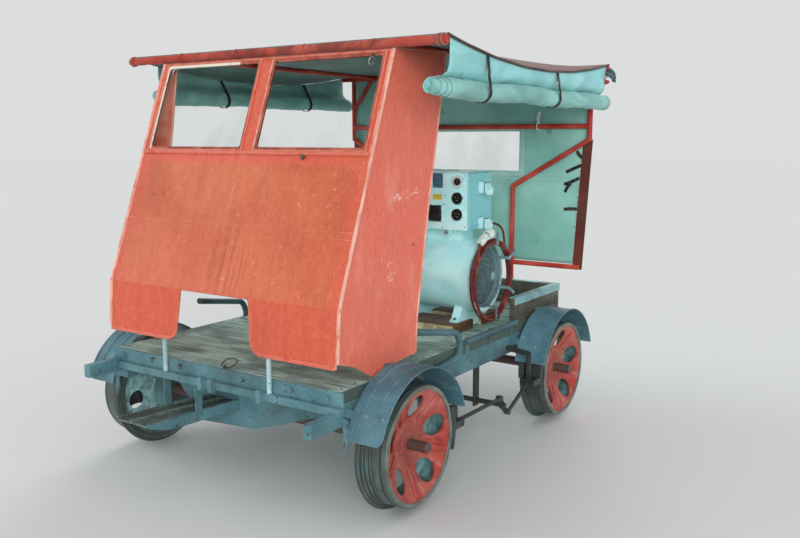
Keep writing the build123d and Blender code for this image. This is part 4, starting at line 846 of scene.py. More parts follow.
# Knotted ends: grey-red cloth strips wound and tied round the bar's ends, and torn ends of canvas with a red
# cord round them at the roof's right rear corner, where they hang loose.
knot_finish = cloth_finish("knot_finish", (142, 92, 82), (166, 128, 116), (96, 62, 56))
rag_finish = cloth_finish("rag_finish", (76, 104, 112), (104, 134, 140), (50, 62, 66), crease=1.5)
corner_ends = (
    (rag_finish, (0.785, 0.997, 1.808), (0.825, 0.970, 1.772), (0.872, 0.985, 1.806), (0.904, 0.998, 1.760)),
    (rag_finish, (0.845, 1.000, 1.814), (0.890, 1.006, 1.806), (0.905, 1.010, 1.786), (0.898, 1.010, 1.744)),
    (wrap_finish, (0.775, 0.985, 1.800), (0.810, 0.968, 1.765), (0.850, 0.974, 1.752), (0.880, 0.985, 1.738)),
)


def bent(corners, count):
    """A bending line from the first corner to the last, drawn towards those between: a Bezier curve, worked
    out by taking the same share of each leg again and again until one point is left."""
    share = np.linspace(0, 1, count)[:, None]
    line = np.repeat(np.asarray(corners, float)[:, None], count, 1)
    while len(line) > 1:
        line = line[:-1] * (1 - share) + line[1:] * share
    return line[0]


for n, x in enumerate((-0.854, 0.843, 0.861)):
    turn = np.linspace(0, 2 * pi, 26, endpoint=False)
    knot = hoop(x + 0.005 * np.sin(turn + n), bar_y, bar_z, 0.0190, 26)
    knot[:, 1] += 0.001 * np.sin(3 * turn + n) * np.cos(turn)
    rope(f"bar_knot_{n}", knot, 0.010, knot_finish, closed=True, up=(1, 0, 0), flatten=0.6)
for n, (finish, *corners) in enumerate(corner_ends):
    line = bent(corners, 22) + 0.0015 * np.sin(np.linspace(0, 40, 22) + n)[:, None]
    rope(f"corner_end_{n}", line, 0.024, finish, flatten=0.22, up=(0.2, 1, 0.1))
cord_middle = (0.852, 0.980, 1.776)
turn = np.linspace(0, 2 * pi, 40, endpoint=False)
cord = np.stack([0.024 * np.cos(turn), 0.006 * np.sin(2 * turn), 0.016 * np.sin(turn)], -1) + cord_middle
rope("corner_cord", cord, 0.005, wrap_finish, closed=True, up=(0, 1, 0), sides=7)


# Side curtains: one canvas sheet on each side, sewn to the roof's edge, that hangs down behind and is rolled
# up outward, so the roll shows its greyer inner face. In front the inner turns stand out of the outer ones.
roll_r, roll_x = 0.044, 0.842
roll_turns = 9.2
roll_step = 0.0042
flap_x = 0.8655
flap_rear, roll_rear = 0.986, 1.018
flap_rows = 16
turn_rows = 26
curtain_thick = 0.0024
green_finish = cloth_finish("green_finish", (148, 214, 216), (172, 236, 238), (108, 162, 158))
dark_green_finish = cloth_finish(
    "dark_green_finish", (132, 190, 186), (156, 214, 208), (96, 140, 134), crease=1.3,
)
# Columns: side, name, height of the roll's middle, front ends of its outer turns, places of its two straps.
curtain_rows = (
    (-1, "left", 1.662, (-0.480, -0.490, -0.502, -0.516), (-0.070, 0.600)),
    (1, "right", 1.643, (-0.600, -0.630, -0.664, -0.702), (-0.320, 0.360)),
)


def roof_edge_z(y, under):
    """Height of the roof's hanging edge along Y, less the distance that a piece is sewn on under it."""
    share = (y - roof_low.y) / (roof_high.y - roof_low.y)
    return roof_high.z - cloth_thick - under - edge_sag * 4 * share * (1 - share)


def curtain(side, roll_z, fronts):
    """The sheet as rows from the roof's edge down and columns along Y. The flap drops straight, turns in over
    the top of the roll, and then its radius falls by one step a turn. Every turn shares one set of dents."""
    down = np.linspace(0, 1, flap_rows)[:, None]
    turn = np.arange(1, int(roll_turns * turn_rows) + 1)[:, None] / turn_rows
    front = np.interp(np.floor(turn), range(4), fronts) + 0.003 * np.sin(turn * 5)
    front = np.concatenate([np.full((flap_rows, 1), fronts[0]), front])
    rear = np.where(turn < 0.5, flap_rear + 2 * (roll_rear - flap_rear) * turn, roll_rear)
    rear = np.concatenate([np.full((flap_rows, 1), flap_rear), rear])
    y = front + (rear - front) * np.linspace(0, 1, 76)
    y_flap, y_roll = y[:flap_rows], y[flap_rows:]

    top_z = roof_edge_z(y_flap, 0.004)
    z_flap = top_z + (roll_z + roll_r + 0.012 - top_z) * down
    belly = np.sin(pi * down) * (0.0035 * np.sin(y_flap * 11) + 0.002 * np.sin(y_flap * 29 + 1))
    x_flap = flap_x + belly - 0.012 * down ** 6

    angle = pi / 2 + 2 * pi * turn
    dent = 0.0022 * np.sin(y_roll * 9 + angle) + 0.0016 * np.sin(y_roll * 21 - 2 * angle)
    dent += 0.001 * np.sin(y_roll * 47 + 3 * angle)
    radius = roll_r - 0.003 - roll_step * turn + dent
    x_roll = roll_x + radius * np.cos(angle)
    z_roll = roll_z - 0.004 * np.sin((y_roll + 0.6) * 4.4) ** 2 + radius * np.sin(angle)
    return np.stack([side * np.concatenate([x_flap, x_roll]), y, np.concatenate([z_flap, z_roll])], -1)


for side, name, roll_z, fronts, strap_y in curtain_rows:
    grid = curtain(side, roll_z, fronts)
    sheet = skin(f"{name}_curtain", grid, green_finish)
    two_sided(sheet, green_finish, dark_green_finish, curtain_thick, 0.0)
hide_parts("side_curtains")


# Straps that hold the rolls up: black leather, two round each roll and flap, sewn on under the roof's edge
# and closed with a small steel buckle.
strap_gap = 0.0030
strap_half, strap_half_thick = 0.0095, 0.0011
strap = Finish("strap_finish")
strap_color = strap.mix(strap.clouds(60, 6, 0.42, 0.68), tone(26, 24, 22), tone(70, 60, 54))
strap_finish = strap.done(strap_color, 0.55, strap.bump(strap.noise(260, 4), 0.0004))
buckle_finish = worn_paint(
    "buckle_finish", (150, 154, 150), (190, 192, 186), (80, 60, 48), size=5, shine=0.35, metallic=0.8,
)
square = np.array([(-1, -1), (1, -1), (1, 1), (-1, 1)])


def flat_bar(line, wide, thin):
    """A flat bar's four edges along a line: to either side by wide and by thin, which may turn with the line,
    and closed at both ends."""
    return capped(np.stack([line + a * wide + b * thin for a, b in square], 1))


def run_of(line):
    """The way that a line runs, at each of its points."""
    run = np.gradient(line, axis=0)
    return run / np.linalg.norm(run, axis=1, keepdims=True)


def strap_loop(side, y, roll_z):
    """Strap's middle line: down the flap's outer face, round the roll from above, and up its inner side."""
    top = roof_edge_z(y, 0.006)
    angle = np.radians(np.linspace(14, -212, 34))
    around = roll_r + strap_gap
    loop = np.stack([roll_x + around * np.cos(angle), roll_z - 0.002 + around * np.sin(angle)], -1)
    outside = np.linspace((flap_x + 0.0045, top), loop[0] + (0.0015, 0.012), 8)
    inside = np.linspace(loop[-1], (flap_x - 0.0045, top), 8)[1:]
    x, z = np.concatenate([outside, loop, inside]).T
    return np.stack([side * x, y + 0.006 * np.sin(z * 40), z], -1)


for side, name, roll_z, fronts, strap_y in curtain_rows:
    for n, y in enumerate(strap_y):
        line = strap_loop(side, y, roll_z)
        out = np.cross(run_of(line), (0, 1, 0)) * side
        edges = flat_bar(line, np.array([0, strap_half, 0]), strap_half_thick * out)
        band = skin(f"{name}_strap_{n}", edges, strap_finish, round_v=True, flat=60)
        if name == "left" and n == 0:
            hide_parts("curtain_straps")
        x, y, z = line[4]
        corners = np.c_[np.full(4, x + side * 0.002), y + 0.0135 * square[:, 0], z + 0.010 * square[:, 1]]
        buckle = np.concatenate([np.linspace(corners[k - 4], corners[k - 3], 5)[:-1] for k in range(4)])
        rope(
            f"{name}_buckle_{n}", buckle, 0.003, buckle_finish,
            closed=True, up=(1, 0, 0), sides=6,
        )


# Rear frame's strips: flat dark red irons beside the canvas wall, held to the tubes by four round-headed
# bolts each. The canvas is clamped behind them.
strip_finish = worn_paint("strip_finish", (96, 40, 36), (122, 56, 48), (70, 44, 38), grime=0.5, size=1.5)
dress(strip_finish, "edge_strips")
strip_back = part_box("edge_strips")[1].y
low_bolt, bolt_rise = np.array([0.733, 0.80]), np.array([0.036, 0.56])       # x and z
strip_bolts = []
for side in (-1, 1):
    for share in (0.0, 0.33, 0.66, 1.0):
        x, z = low_bolt + share * bolt_rise
        strip_bolts.append((side * x, strip_back, z))
stamped("strip_bolts", dome(0.007, 0.004), strip_bolts, (0, 1, 0), strip_finish)


# Rear wall: grey-green canvas stretched over the rear tubes, with a double seam under the window and a pale
# sewn rim round its clear pane. It hangs in faint folds and is frayed and stained at the edges.
wall_low, wall_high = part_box("rear_wall")
wall_knee = 1.449
wall_top_half, wall_low_half = 0.781, 0.740
window_half, window_low, window_high = 0.370, 1.266, 1.501
window_share = 0.4737          # the window's part of the columns, to either side
rim_width, rim_thick = 0.034, 0.0024
rim_lap = 0.009
rim_front = wall_low.y - 0.0006
seam_half, seam_z = 0.72, (1.222, 1.205)
fray_inset, fray_top = 0.0445, 1.44
wall_finish = cloth_finish(
    "wall_finish", (132, 192, 180), (158, 214, 202), (98, 144, 132), dust=0.35, crease=0.2,
)
rim_finish = cloth_finish(
    "rim_finish", (150, 200, 194), (180, 222, 214), (112, 146, 138), dust=0.4, crease=0.5,
)
frayed_finish = cloth_finish("frayed_finish", (206, 236, 228), (226, 244, 238), (140, 172, 162))


def wall_half(z):
    """Half the wall's width at a height: it widens evenly up to the knee."""
    return wall_low_half + (wall_top_half - wall_low_half) * (z - wall_low.z) / (wall_knee - wall_low.z)


def meeting(*spans):
    """One row of values from several even spans (start, end, count) that meet end to start."""
    rows = [np.linspace(*span) for span in spans]
    return np.concatenate([rows[0], rows[1][1:-1], rows[2]])


def flat_band(name, corners, width, material):
    """A sewn band round a row of corners in the wall's plane: a shallow crowned strip with mitred corners."""
    corners = np.asarray(corners, float)
    after = np.roll(corners, -1, 0) - corners
    after /= np.linalg.norm(after, axis=1, keepdims=True)
    before = np.roll(after, 1, 0)
    out = np.stack([after[:, 1] + before[:, 1], -after[:, 0] - before[:, 0]], 1)
    out /= out[:, :1] * before[:, 1:] - out[:, 1:] * before[:, :1]
    share = np.linspace(0, 1, 14, endpoint=False)[None, :, None]
    both = np.concatenate([corners, out], 1)[:, None]
    x, z, out_x, out_z = (both + (np.roll(both, -1, 0) - both) * share).reshape(-1, 4).T
    section = [(-0.5, 0.0), (-0.47, 0.8), (-0.2, 1.0), (0.0, 0.93), (0.2, 1.0), (0.47, 0.8), (0.5, 0.0)]
    grid = []
    for across, up in section:
        level = np.full(len(x), rim_front - up * rim_thick)
        grid.append(np.stack([x + out_x * across * width, level, z + out_z * across * width], -1))
    return skin(name, np.stack(grid, 1), material, round_u=True, round_v=True)


wall_u = meeting((-1, -window_share, 18), (-window_share, window_share, 25), (window_share, 1, 18))
wall_v = meeting(
    (wall_low.z + 0.028, window_low, 22), (window_low, window_high, 9), (window_high, wall_high.z, 12),
)
wall_z, across = np.meshgrid(wall_v, wall_u, indexing="ij")
aside = np.abs(across)
beside_window = window_half + (aside - window_share) / (1 - window_share) * (
    np.clip(wall_half(wall_z), 0, wall_top_half) - window_half)
over_window = np.clip(aside / window_share, 0, 1) * window_half
wall_x = np.sign(across) * np.where(aside <= window_share, over_window, beside_window)
from_edge = np.clip((1 - aside) * 6, 0, 1)
from_edge *= np.clip((wall_z - wall_low.z) * 12, 0, 1) * np.clip((wall_high.z - wall_z) * 12, 0, 1)
off_window = np.maximum(np.abs(wall_x) - window_half, np.maximum(window_low - wall_z, wall_z - window_high))
folds = 0.0045 * np.sin(wall_x * 13 + 3 * wall_z) * np.sin(wall_z * 7 + 1)
folds += 0.0028 * np.sin(wall_x * 29 - wall_z * 11)
wall_y = (wall_low.y + wall_high.y) / 2 + folds * from_edge * np.clip(off_window * 14, 0, 1)
wall_grid = np.stack([wall_x, wall_y, wall_z], -1)
mid_x = (wall_x[:-1, :-1] + wall_x[1:, 1:]) / 2
mid_z = (wall_z[:-1, :-1] + wall_z[1:, 1:]) / 2
solid = ~((np.abs(mid_x) < window_half) & (mid_z > window_low) & (mid_z < window_high))
wall_faces = grid_faces(*wall_x.shape)[solid.ravel()]
wall = make_piece("rear_sheet", wall_grid, wall_faces, wall_finish)
two_sided(wall, wall_finish, wall_finish, 0.0026, 0.0)
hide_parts("rear_wall")

rim_x, rim_low, rim_high = window_half + rim_lap, window_low - rim_lap, window_high + rim_lap
rim_corners = [(-rim_x, rim_low), (rim_x, rim_low), (rim_x, rim_high), (-rim_x, rim_high)]
rim = flat_band("window_rim", rim_corners, rim_width, rim_finish)
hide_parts("rear_window_rim")
along_seam = np.linspace(-seam_half, seam_half, 60)
for n, z in enumerate(seam_z):
    line = np.stack([along_seam, np.full(60, rim_front - 0.001), z + 0.0012 * np.sin(along_seam * 17)], -1)
    rope(f"wall_seam_{n}", line, 0.0035, rim_finish, sides=5)
fray_z = np.linspace(wall_low.z + 0.03, fray_top, 90)
fray_x = wall_half(fray_z) - fray_inset + 0.0016 * np.sin(fray_z * 190) + 0.001 * np.sin(fray_z * 410)
fray_line = np.stack([fray_x, np.full(90, wall_low.y - 0.001), fray_z], -1)
rope("wall_frayed_edge", fray_line, 0.007, frayed_finish, sides=5)


# Loose ends on the wall: five black leather strap ends, sewn on beside its right edge, that hang as they
# fell, and a white tape tied round the upper tube, with its end up under the roof.
strap_ends = (
    ((0.647, 1.273), (0.680, 1.288), (0.736, 1.312)),
    ((0.707, 1.387), (0.716, 1.370), (0.738, 1.352)),
    ((0.637, 1.207), (0.672, 1.214), (0.727, 1.244)),
    ((0.644, 1.164), (0.656, 1.190), (0.676, 1.212)),
    ((0.641, 1.070), (0.680, 1.078), (0.718, 1.074)),
)
tube_y, tube_z, tube_r = wall_low.y - 0.0178, 1.519, 0.0135
tied_x, tape_end_x = 0.4815, 0.4800
for n, corners in enumerate(strap_ends):
    x, z = bent(corners, 10).T
    path = np.stack([x, wall_low.y - 0.002 - 0.006 * np.sin(np.linspace(0, pi, 10)), z], -1)
    rope(f"wall_strap_end_{n}", path, 0.017, strap_finish, flatten=0.16, up=(0, 1, 0))
tied = hoop(tied_x, tube_y, tube_z, tube_r + 0.0012, 24)
rope("wall_tape_loop", tied, 0.022, tape_finish, closed=True, flatten=0.10, up=(1, 0, 0))
share = np.linspace(0, 1, 12)
end = (tape_end_x + 0.002 * np.sin(share * 9), tube_y - 0.002 + 0.016 * share, tube_z + 0.012 + 0.068 * share)
rope("wall_tape_end", np.stack(end, -1), 0.020, tape_finish, flatten=0.10, up=(0, 1, 0))


# Fenders: rolled steel sheet over each wheel, bolted to stays on the guard irons. Their matt blue-grey paint
# is scraped along the folded outer edges. The paint is painted lighter and more cyan as a glare of light, and
# where it is scraped the pale colour under it is a painted highlight.
# Paint colours lighter and more cyan than the dark blue-grey: painted glare; pale under colour: painted
# highlight.
fender_finish = worn_paint(
    "fender_finish", (74, 114, 128), (98, 142, 156), (142, 178, 184), wear=0.65, grime=0.5, size=1.2,
)
dress(fender_finish, "fenders")


# Timber baulks that carry the set: two short thick boards across the deck, sawn off pale in front and brown
# along their sides. They lie loose, held down by the set's own weight.
def tablet(name, middle, size, corner, material, facing=(0, -1, 0), crown=0.3):
    """A flat plate with round corners and a bevelled rim: rings of a rounded rectangle, from its back edge
    over the bevel to the middle of its face. Its middle lies on the plane that it faces away from."""
    wide, high, thick = size
    middle = np.asarray(middle)
    way = np.asarray(facing, float)
    side = np.cross(way, (0, 0, 1.0)) if abs(way[2]) < 0.9 else np.array([1.0, 0, 0])
    up = np.cross(side, way)
    angle = np.linspace(0, 2 * pi, 32, endpoint=False) + pi / 32
    round_way = np.stack([np.cos(angle), np.sin(angle)], 1)
    rings = [np.tile(middle - 0.001 * way, (32, 1))]
    bevel = thick * crown
    for inset, lift in ((0.0, -0.001), (0.0, thick - bevel), (bevel, thick), (min(wide, high) * 0.25, thick)):
        radius = max(corner - inset, 0.0004)
        core = np.sign(round_way) * (wide / 2 - inset - radius, high / 2 - inset - radius)
        flat = core + radius * round_way
        rings.append(middle + flat[:, :1] * side + flat[:, 1:] * up + lift * way)
    rings.append(np.tile(middle + thick * way, (32, 1)))
    return skin(name, np.stack(rings), material, round_v=True, flat=35)


def bearer_finish():
    """Brown sides, a greyer weathered top and pale sawn fronts, told apart by the way that a face points."""
    look = Finish("bearer_finish")
    fibre = look.noise(120, 6, (1, 0.05, 1), 0.4)
    side = look.mix(look.step(fibre, 0.36, 0.66), tone(126, 88, 60), tone(78, 54, 40))
    sawn = look.clouds(34, 4, 0.4, 0.6, (1, 0.01, 1.6), 1.0)
    end = look.mix(sawn, tone(232, 222, 180), tone(190, 174, 128))
    side = look.lay(side, tone(120, 98, 92), look.step(look.facing("Z"), 0.7, 0.9), 0.7)
    color = look.lay(side, end, look.step(look.calc("ABSOLUTE", look.facing("Y")), 0.7, 0.9))
    color = look.lay(color, tone(60, 52, 44), look.clouds(9, 6, 0.45, 0.7), 0.5)
    return look.done(color, 0.75, look.bump(fibre, 0.0006))


baulk_thick, baulk_wide = 0.045, 0.200
baulk_low, baulk_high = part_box("bearers")
baulk_size = (baulk_high.x - baulk_low.x, baulk_wide, baulk_thick)
baulk_x = (baulk_low.x + baulk_high.x) / 2
baulk_finish = bearer_finish()
for n, y in enumerate((baulk_low.y, 0.340)):
    middle = (baulk_x, y + baulk_wide / 2, deck_high.z)
    tablet(
        f"bearer_board_{n}", middle, baulk_size, 0.006, baulk_finish, (0, 0, 1), 0.08,
    )
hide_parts("bearers")


# Generator set: a welded steel barrel on two folded feet, in pale enamel. Each foot stands on the baulks with
# a flat pad along it and a bolt at each end.
fan_y, fan_z = 0.278, 0.793
foot_x = (0.185, 0.465)
foot_bolt_z = 0.586
foot_bolt_half = 0.138
set_finish = worn_paint(
    "set_finish", (180, 244, 248), (202, 252, 252), (104, 120, 118),
    wear=0.35, grime=0.25, size=1.4, shine=0.4,
)
dress(set_finish, "generator_barrel")
for n, x in enumerate(foot_x):
    on_baulk = (x, fan_y, deck_high.z + baulk_thick)
    tablet(f"foot_pad_{n}", on_baulk, (0.044, 0.304, 0.012), 0.004, set_finish, (0, 0, 1), 0.2)
foot_bolts = [(x, fan_y + way * foot_bolt_half, foot_bolt_z) for x in foot_x for way in (-1, 1)]
stamped("foot_bolts", hexagon(0.008, 0.008), foot_bolts, (0, 0, 1), cast_finish, flat=30)


# Control box: a welded sheet box on top of the barrel, in the same enamel. On its right side two socket
# housings stand out, each with a hinged lid and a dark joint between them, painted as the shadow in the gap.
# That side is painted darker and bluer as shade.
box_low, box_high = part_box("control_box")
box_side_x = 0.520
lid_joint_x = 0.550


def side_shade(look, color):
    """The box's right side is painted bluer, duller and darker than its front as shade; the sockets that
    stand out of it are pale, and the joint of each lid is painted dark as the shadow in its gap."""
    x = look.axis("X")
    shaded_flank = look.step(x, box_side_x - 0.010, box_side_x - 0.006)
    shaded_flank = look.times(shaded_flank, look.step(x, box_side_x + 0.002, box_side_x + 0.001))
    joint = look.step(x, lid_joint_x - 0.003, lid_joint_x - 0.001)
    joint = look.times(joint, look.step(x, lid_joint_x + 0.003, lid_joint_x + 0.001))
    # Painted shade on the right side, and below a painted shadow in each lid's joint.
    color = look.lay(color, tone(102, 182, 190), shaded_flank, 0.8)
    color = look.lay(color, tone(196, 244, 244), look.step(x, box_side_x + 0.002, box_side_x + 0.004), 0.7)
    return look.lay(color, tone(44, 70, 76), joint, 0.85)


box_finish = worn_paint(
    "box_finish", (190, 248, 250), (212, 254, 254), (92, 116, 118),
    wear=0.45, grime=0.25, size=1.4, shine=0.4, edge=0.006, extra=side_shade,
)
dress(box_finish, "control_box")
for n, z in enumerate((1.220, 1.047)):
    lid_mark = (0.551, 0.292, z + 0.016)
    size = (0.046, 0.012, 0.003)
    tablet(f"lid_plate_{n}", lid_mark, size, 0.003, set_finish, (0.81, 0, 0.59))


# Fittings on the box's front: black moulded sockets, a switch with a white ring, a square outlet, a blank
# blue plate and a blank yellow label. Each is held by small screws or pressed in.
def moulded(name, main, scuffed, rough=0.4):
    """Moulded plastic or lacquer: one colour with pale scuffs and dust in its pores."""
    look = Finish(name)
    color = look.lay(tone(*main), tone(*scuffed), look.clouds(70, 7, 0.50, 0.72), 0.6)
    color = look.lay(color, tone(90, 84, 76), look.clouds(12, 4, 0.45, 0.7), 0.25)
    return look.done(color, rough, look.bump(look.noise(500, 3), 0.0002))


forward = (0, -1, 0)
box_front = 0.165
dial_front = box_front - 0.009
dial_x, switch_z, socket_z = 0.463, 1.251, (1.172, 1.094)
outlet_place = (0.340, dial_front, 1.096)
plate_x, plate_z = 0.3495, 1.254
black_finish = moulded("black_finish", (26, 28, 30), (70, 76, 78), 0.35)
white_finish = moulded("white_finish", (214, 222, 218), (170, 176, 170))
yellow_finish = moulded("yellow_finish", (224, 200, 62), (196, 180, 96), 0.5)
plate_finish = moulded("plate_finish", (70, 104, 132), (112, 142, 160), 0.3)
switch_profile = [(-0.001, 0.0), (-0.001, 0.0175), (0.004, 0.0175), (0.005, 0.0160)]
switch_profile += [(0.005, 0.0095), (0.018, 0.0085), (0.020, 0.0070), (0.020, 0.0)]
ring_profile = [(-0.001, 0.0185), (-0.001, 0.0290), (0.0025, 0.0290), (0.0035, 0.0280)]
ring_profile += [(0.0035, 0.0195), (0.0025, 0.0185), (-0.001, 0.0185)]
socket_profile = [(-0.001, 0.0), (-0.001, 0.0285), (0.004, 0.0285), (0.0055, 0.027)]
socket_profile += [(0.0055, 0.0215), (0.0015, 0.0205), (0.0015, 0.0)]
outlet_profile = [(0.003, 0.0), (0.003, 0.026), (0.0062, 0.0255)]
outlet_profile += [(0.0065, 0.0215), (0.0042, 0.0205), (0.0042, 0.0)]
switch_place = (dial_x, dial_front, switch_z)
lathe("switch_knob", switch_profile, switch_place, forward, black_finish, 32)
lathe("switch_ring", ring_profile, switch_place, forward, white_finish, 40)
pins = []
for n, z in enumerate(socket_z):
    place = (dial_x, dial_front, z)
    lathe(f"dial_socket_{n}", socket_profile, place, forward, black_finish, 40)
    pin_turn = np.radians([30, 150, 270])
    pins += [(dial_x + 0.010 * cos(a), dial_front - 0.0012, z + 0.010 * sin(a)) for a in pin_turn]
stamped("socket_pins", dome(0.0028, 0.0030, 8), pins, forward, buckle_finish)
tablet("outlet_frame", outlet_place, (0.072, 0.078, 0.004), 0.006, black_finish)
lathe("outlet_socket", outlet_profile, outlet_place, forward, black_finish, 36)
plate_place = (plate_x, box_front, plate_z)
tablet("blank_plate", plate_place, (0.057, 0.070, 0.0018), 0.003, plate_finish)
label_place = (0.3475, box_front, 1.1745)
tablet("blank_label", label_place, (0.052, 0.027, 0.0006), 0.001, yellow_finish)
plate_corners = [(x, z) for x in (-0.023, 0.023) for z in (-0.029, 0.029)]
screws = [(plate_x + x, box_front - 0.0016, plate_z + z) for x, z in plate_corners]
screws += [(x, box_front, z) for x in (box_low.x + 0.018, box_high.x - 0.072) for z in (1.036, 1.279)]
stamped("box_screws", dome(0.0036, 0.0018, 8), screws, forward, buckle_finish)


# Clamps that hold the box down on the barrel: two small hinged straps of steel sheet, each drawn tight by a
# screw with a collar.
clamp_profile = [(0, 0), (0, 0.006), (0.012, 0.006), (0.013, 0.010), (0.018, 0.010), (0.019, 0.0)]
for n, x in enumerate((0.245, 0.405)):
    tablet(f"box_clamp_{n}", (x, 0.176, 1.004), (0.024, 0.034, 0.004), 0.004, set_finish)
    lathe(f"clamp_screw_{n}", clamp_profile, (x, 0.172, 1.006), forward, buckle_finish, 12)


# Guard of the generator's fan: woven wire pressed into a dome, a rolled rim ring, a round plate in its middle
# and four flat arms turned up at their tips, from which the cable hangs. It is bolted to the barrel's end.
guard_r, guard_rise = 0.154, 0.042
guard_foot = 0.556
guard_rim_r, fan_bolt_r = 0.1535, 0.163
mesh_pitch = 0.0085
wire_r, wire_count, wire_points = 0.0009, 35, 26
dome_ball = (guard_r ** 2 + guard_rise ** 2) / (2 * guard_rise)
guard_finish = worn_paint(
    "guard_finish", (100, 132, 140), (136, 172, 178), (70, 64, 60), wear=0.6, grime=0.5, size=2.4, shine=0.4,
)
dress(guard_finish, "generator_guard")


def wires(upright):
    """Wires along Y, or upright ones, as rings of four points. Each lies on the cap of a ball and passes over
    and under those that it crosses, as a cosine with the mesh's pitch."""
    count = np.arange(wire_count)[:, None]
    row = (count - wire_count // 2) * mesh_pitch
    run = np.sqrt(guard_r ** 2 - row ** 2) * np.linspace(-1, 1, wire_points)
    row = row + 0 * run
    y, z = (row, run) if upright else (run, row)
    lift = np.sqrt(dome_ball ** 2 - y ** 2 - z ** 2) - (dome_ball - guard_rise)
    weave = wire_r * np.cos((run / mesh_pitch + count + upright) * pi)
    middle = np.stack([guard_foot + lift + weave, fan_y + y, fan_z + z], -1)
    aside = np.array([0, 1, 0] if upright else [0, 0, 1])
    ring = np.array([(1, 0, 0), aside, (-1, 0, 0), -aside])
    return middle[:, :, None] + wire_r * ring


wire_grid = np.concatenate([wires(0), wires(1)])
each = wire_points * 4
wire_faces = np.concatenate([
    grid_faces(wire_points, 4, round_v=True), [(3, 2, 1, 0), (each - 4, each - 3, each - 2, each - 1)],
])
wire_faces = wire_faces + np.arange(len(wire_grid))[:, None, None] * each
guard = make_piece("guard_mesh", wire_grid, wire_faces, guard_finish)
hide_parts("generator_guard")
guard_rim = hoop(guard_foot + 0.004, fan_y, fan_z, guard_rim_r, 72)
rope("guard_rim", guard_rim, 0.010, guard_finish, closed=True, up=(1, 0, 0), sides=10)
plate_profile = [(-0.003, 0.0), (-0.003, 0.021), (0.0015, 0.021), (0.003, 0.018), (0.003, 0.0)]
guard_top = (guard_foot + guard_rise - 0.001, fan_y, fan_z)
lathe("guard_middle", plate_profile, guard_top, (1, 0, 0), guard_finish, 32, 40)
fan_profile = [(-0.010, 0.0), (-0.010, 0.1470), (-0.006, 0.1470), (-0.004, 0.138)]
fan_profile += [(-0.010, 0.120), (-0.012, 0.04), (0.004, 0.035), (0.010, 0.0)]
fan_finish = moulded("fan_dark", (78, 108, 110), (104, 138, 140), 0.7)
lathe("fan_disc", fan_profile, (guard_foot - 0.018, fan_y, fan_z), (1, 0, 0), fan_finish, 48, 40)
# Each arm as (out of the guard, from the fan's middle): out along the coil, then turned up past it.
arm_shape = [(0.0, 0.150), (0.030, 0.150), (0.0585, 0.1502)]
arm_shape += [(0.0620, 0.1540), (0.063, 0.170), (0.063, 0.2155)]
for n, degree in enumerate((90, 30, -30, -90)):
    out = np.array([0.0, cos(radians(degree)), sin(radians(degree))])
    line = np.array([(guard_foot + x, fan_y, fan_z) + r * out for x, r in arm_shape])
    wide = np.cross(out, (1.0, 0, 0))
    edges = flat_bar(line, 0.008 * wide, 0.0028 * np.cross(run_of(line), wide))
    skin(f"guard_arm_{n}", edges, guard_finish, round_v=True, flat=40)
fan_bolts = hoop(guard_foot, fan_y, fan_z, fan_bolt_r, 6)
stamped("fan_bolts", hexagon(0.006, 0.006), fan_bolts, (1, 0, 0), set_finish, flat=30)


# Trims on the screen: a rain ledge under the windows, joint strips of the sheet, folds round the windows and
# wire rolled into the free edges, all of painted steel, with a small lock and two hooks.
crease = np.array([-0.986, 0.837])           # y, z of the screen's crease and of its top
top = np.array([-0.631, 1.793])
slope_way = (top - crease) / np.linalg.norm(top - crease)
slope_out = np.array([-slope_way[1], slope_way[0]])
slope_lift = (0, *slope_out)
# The rolled edges and the right mullion fold are pale: partly worn paint, partly a painted highlight along
# them.
edge_wear_highlight_finish = worn_paint(
    "edge_wear_highlight_finish", (224, 140, 118), (240, 190, 172), (170, 80, 58), wear=0.7, grime=0.15, size=2.4,
)
lock_finish = worn_paint("lock_finish", (96, 80, 70), (120, 104, 92), (160, 150, 140), size=4, metallic=0.4)


def on_screen(x, up, out=0.0):
    """A place on the screen's outer face: up along the slope from the crease, out of the sheet."""
    place = crease + slope_way * up + slope_out * out
    return (x, place[0], place[1])


def strip(name, start, end, wide, thick, material):
    """A flat strip on the screen's face between two places, with bevelled edges: one section, swept along."""
    a, b = np.array(on_screen(*start)), np.array(on_screen(*end))
    line = np.linspace(a, b, 12)
    side = np.cross((b - a) / np.linalg.norm(b - a), slope_lift)
    flat_half = 0.5 - thick / wide * 0.5
    section = [(-0.5, -0.001), (-0.5, thick * 0.6), (-flat_half, thick)]
    section += [(flat_half, thick), (0.5, thick * 0.6), (0.5, -0.001)]
    grid = np.stack([line + s * wide * side + np.multiply(h, slope_lift) for s, h in section], 1)
    return skin(name, capped(grid), material, round_v=True, flat=30)


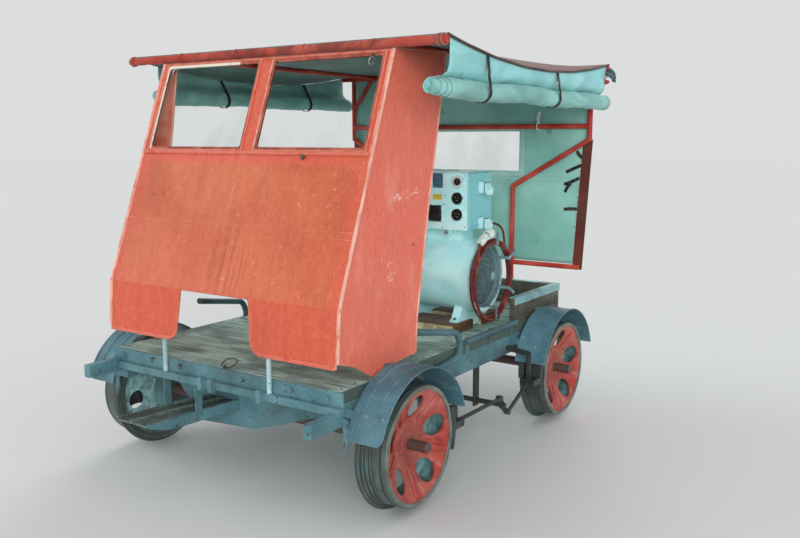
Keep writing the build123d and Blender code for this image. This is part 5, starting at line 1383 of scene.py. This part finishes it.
# Strips: name, start and end as (x, up the slope), width, thickness.
strips = (
    ("rain_ledge", (-0.628, 0.596), (0.628, 0.596), 0.016, 0.010),
    ("sheet_joint_low", (-0.634, 0.277), (0.634, 0.277), 0.030, 0.0012),
    ("sheet_joint_mid", (-0.015, 0.292), (-0.015, 0.588), 0.026, 0.0012),
    ("mullion_fold_left", (-0.0335, 0.604), (-0.0335, 1.012), 0.006, 0.006),
    ("frame_fold_left", (-0.6095, 0.600), (-0.6095, 1.014), 0.006, 0.006),
    ("frame_edge_left", (-0.629, 0.600), (-0.629, 1.014), 0.005, 0.004),
    ("frame_fold_right", (0.6095, 0.600), (0.6095, 1.014), 0.006, 0.006),
    ("frame_edge_right", (0.629, 0.600), (0.629, 1.014), 0.005, 0.004),
    ("head_fold", (-0.628, 1.0105), (0.628, 1.0105), 0.008, 0.007),
)
for row in strips:
    strip(*row, screen_finish)
strip("mullion_fold_right", (0.0335, 0.604), (0.0335, 1.012), 0.006, 0.006, edge_wear_highlight_finish)

# Rolled edges as lines of (y, z): the rear edges of both panels, and the seams of the screen with them.
panel_x, seam_x = 0.6375, 0.6413
seam_line = [(-0.631, 1.792), (-0.986, 0.837), (-0.999, 0.642)]
right_rear = [(-0.251, 1.811), (-0.271, 1.690), (-0.369, 1.246), (-0.466, 0.729), (-0.476, 0.586)]
left_rear = [(-0.562, 1.796), (-0.620, 1.413), (-0.700, 0.837), (-0.735, 0.584)]
rolled_edges = (
    ("right_rear", panel_x, right_rear), ("left_rear", -panel_x, left_rear),
    ("right_seam", seam_x, seam_line), ("left_seam", -seam_x, seam_line),
)
for name, x, corners in rolled_edges:
    corners = np.array(corners)
    far = np.concatenate([[0], np.cumsum(np.linalg.norm(np.diff(corners, axis=0), axis=1))])
    along = np.linspace(0, far[-1], 60)
    y, z = (np.interp(along, far, column) for column in corners.T)
    line = np.stack([np.full(60, x), y, z], -1)
    rope(f"rim_{name}", line, 0.0112, edge_wear_highlight_finish, sides=10, up=(1, 0, 0))
lock_profile = [(-0.001, 0), (-0.001, 0.011), (0.008, 0.010), (0.009, 0.008), (0.009, 0.004), (0.006, 0.0)]
lathe("screen_lock", lock_profile, on_screen(0.309, 0.581), slope_lift, lock_finish, 16)
for n, x in enumerate((-0.546, 0.552)):
    hook_turn = np.linspace(0.4, 2 * pi - 0.4, 18)
    hook = [(x + 0.012 * cos(a), 0.970 + 0.016 * sin(a), 0.006 + 0.004 * sin(a / 2)) for a in hook_turn]
    line = [on_screen(*place) for place in hook]
    rope(f"screen_hook_{n}", line, 0.004, buckle_finish, sides=7, up=(0, -1, 0.3))
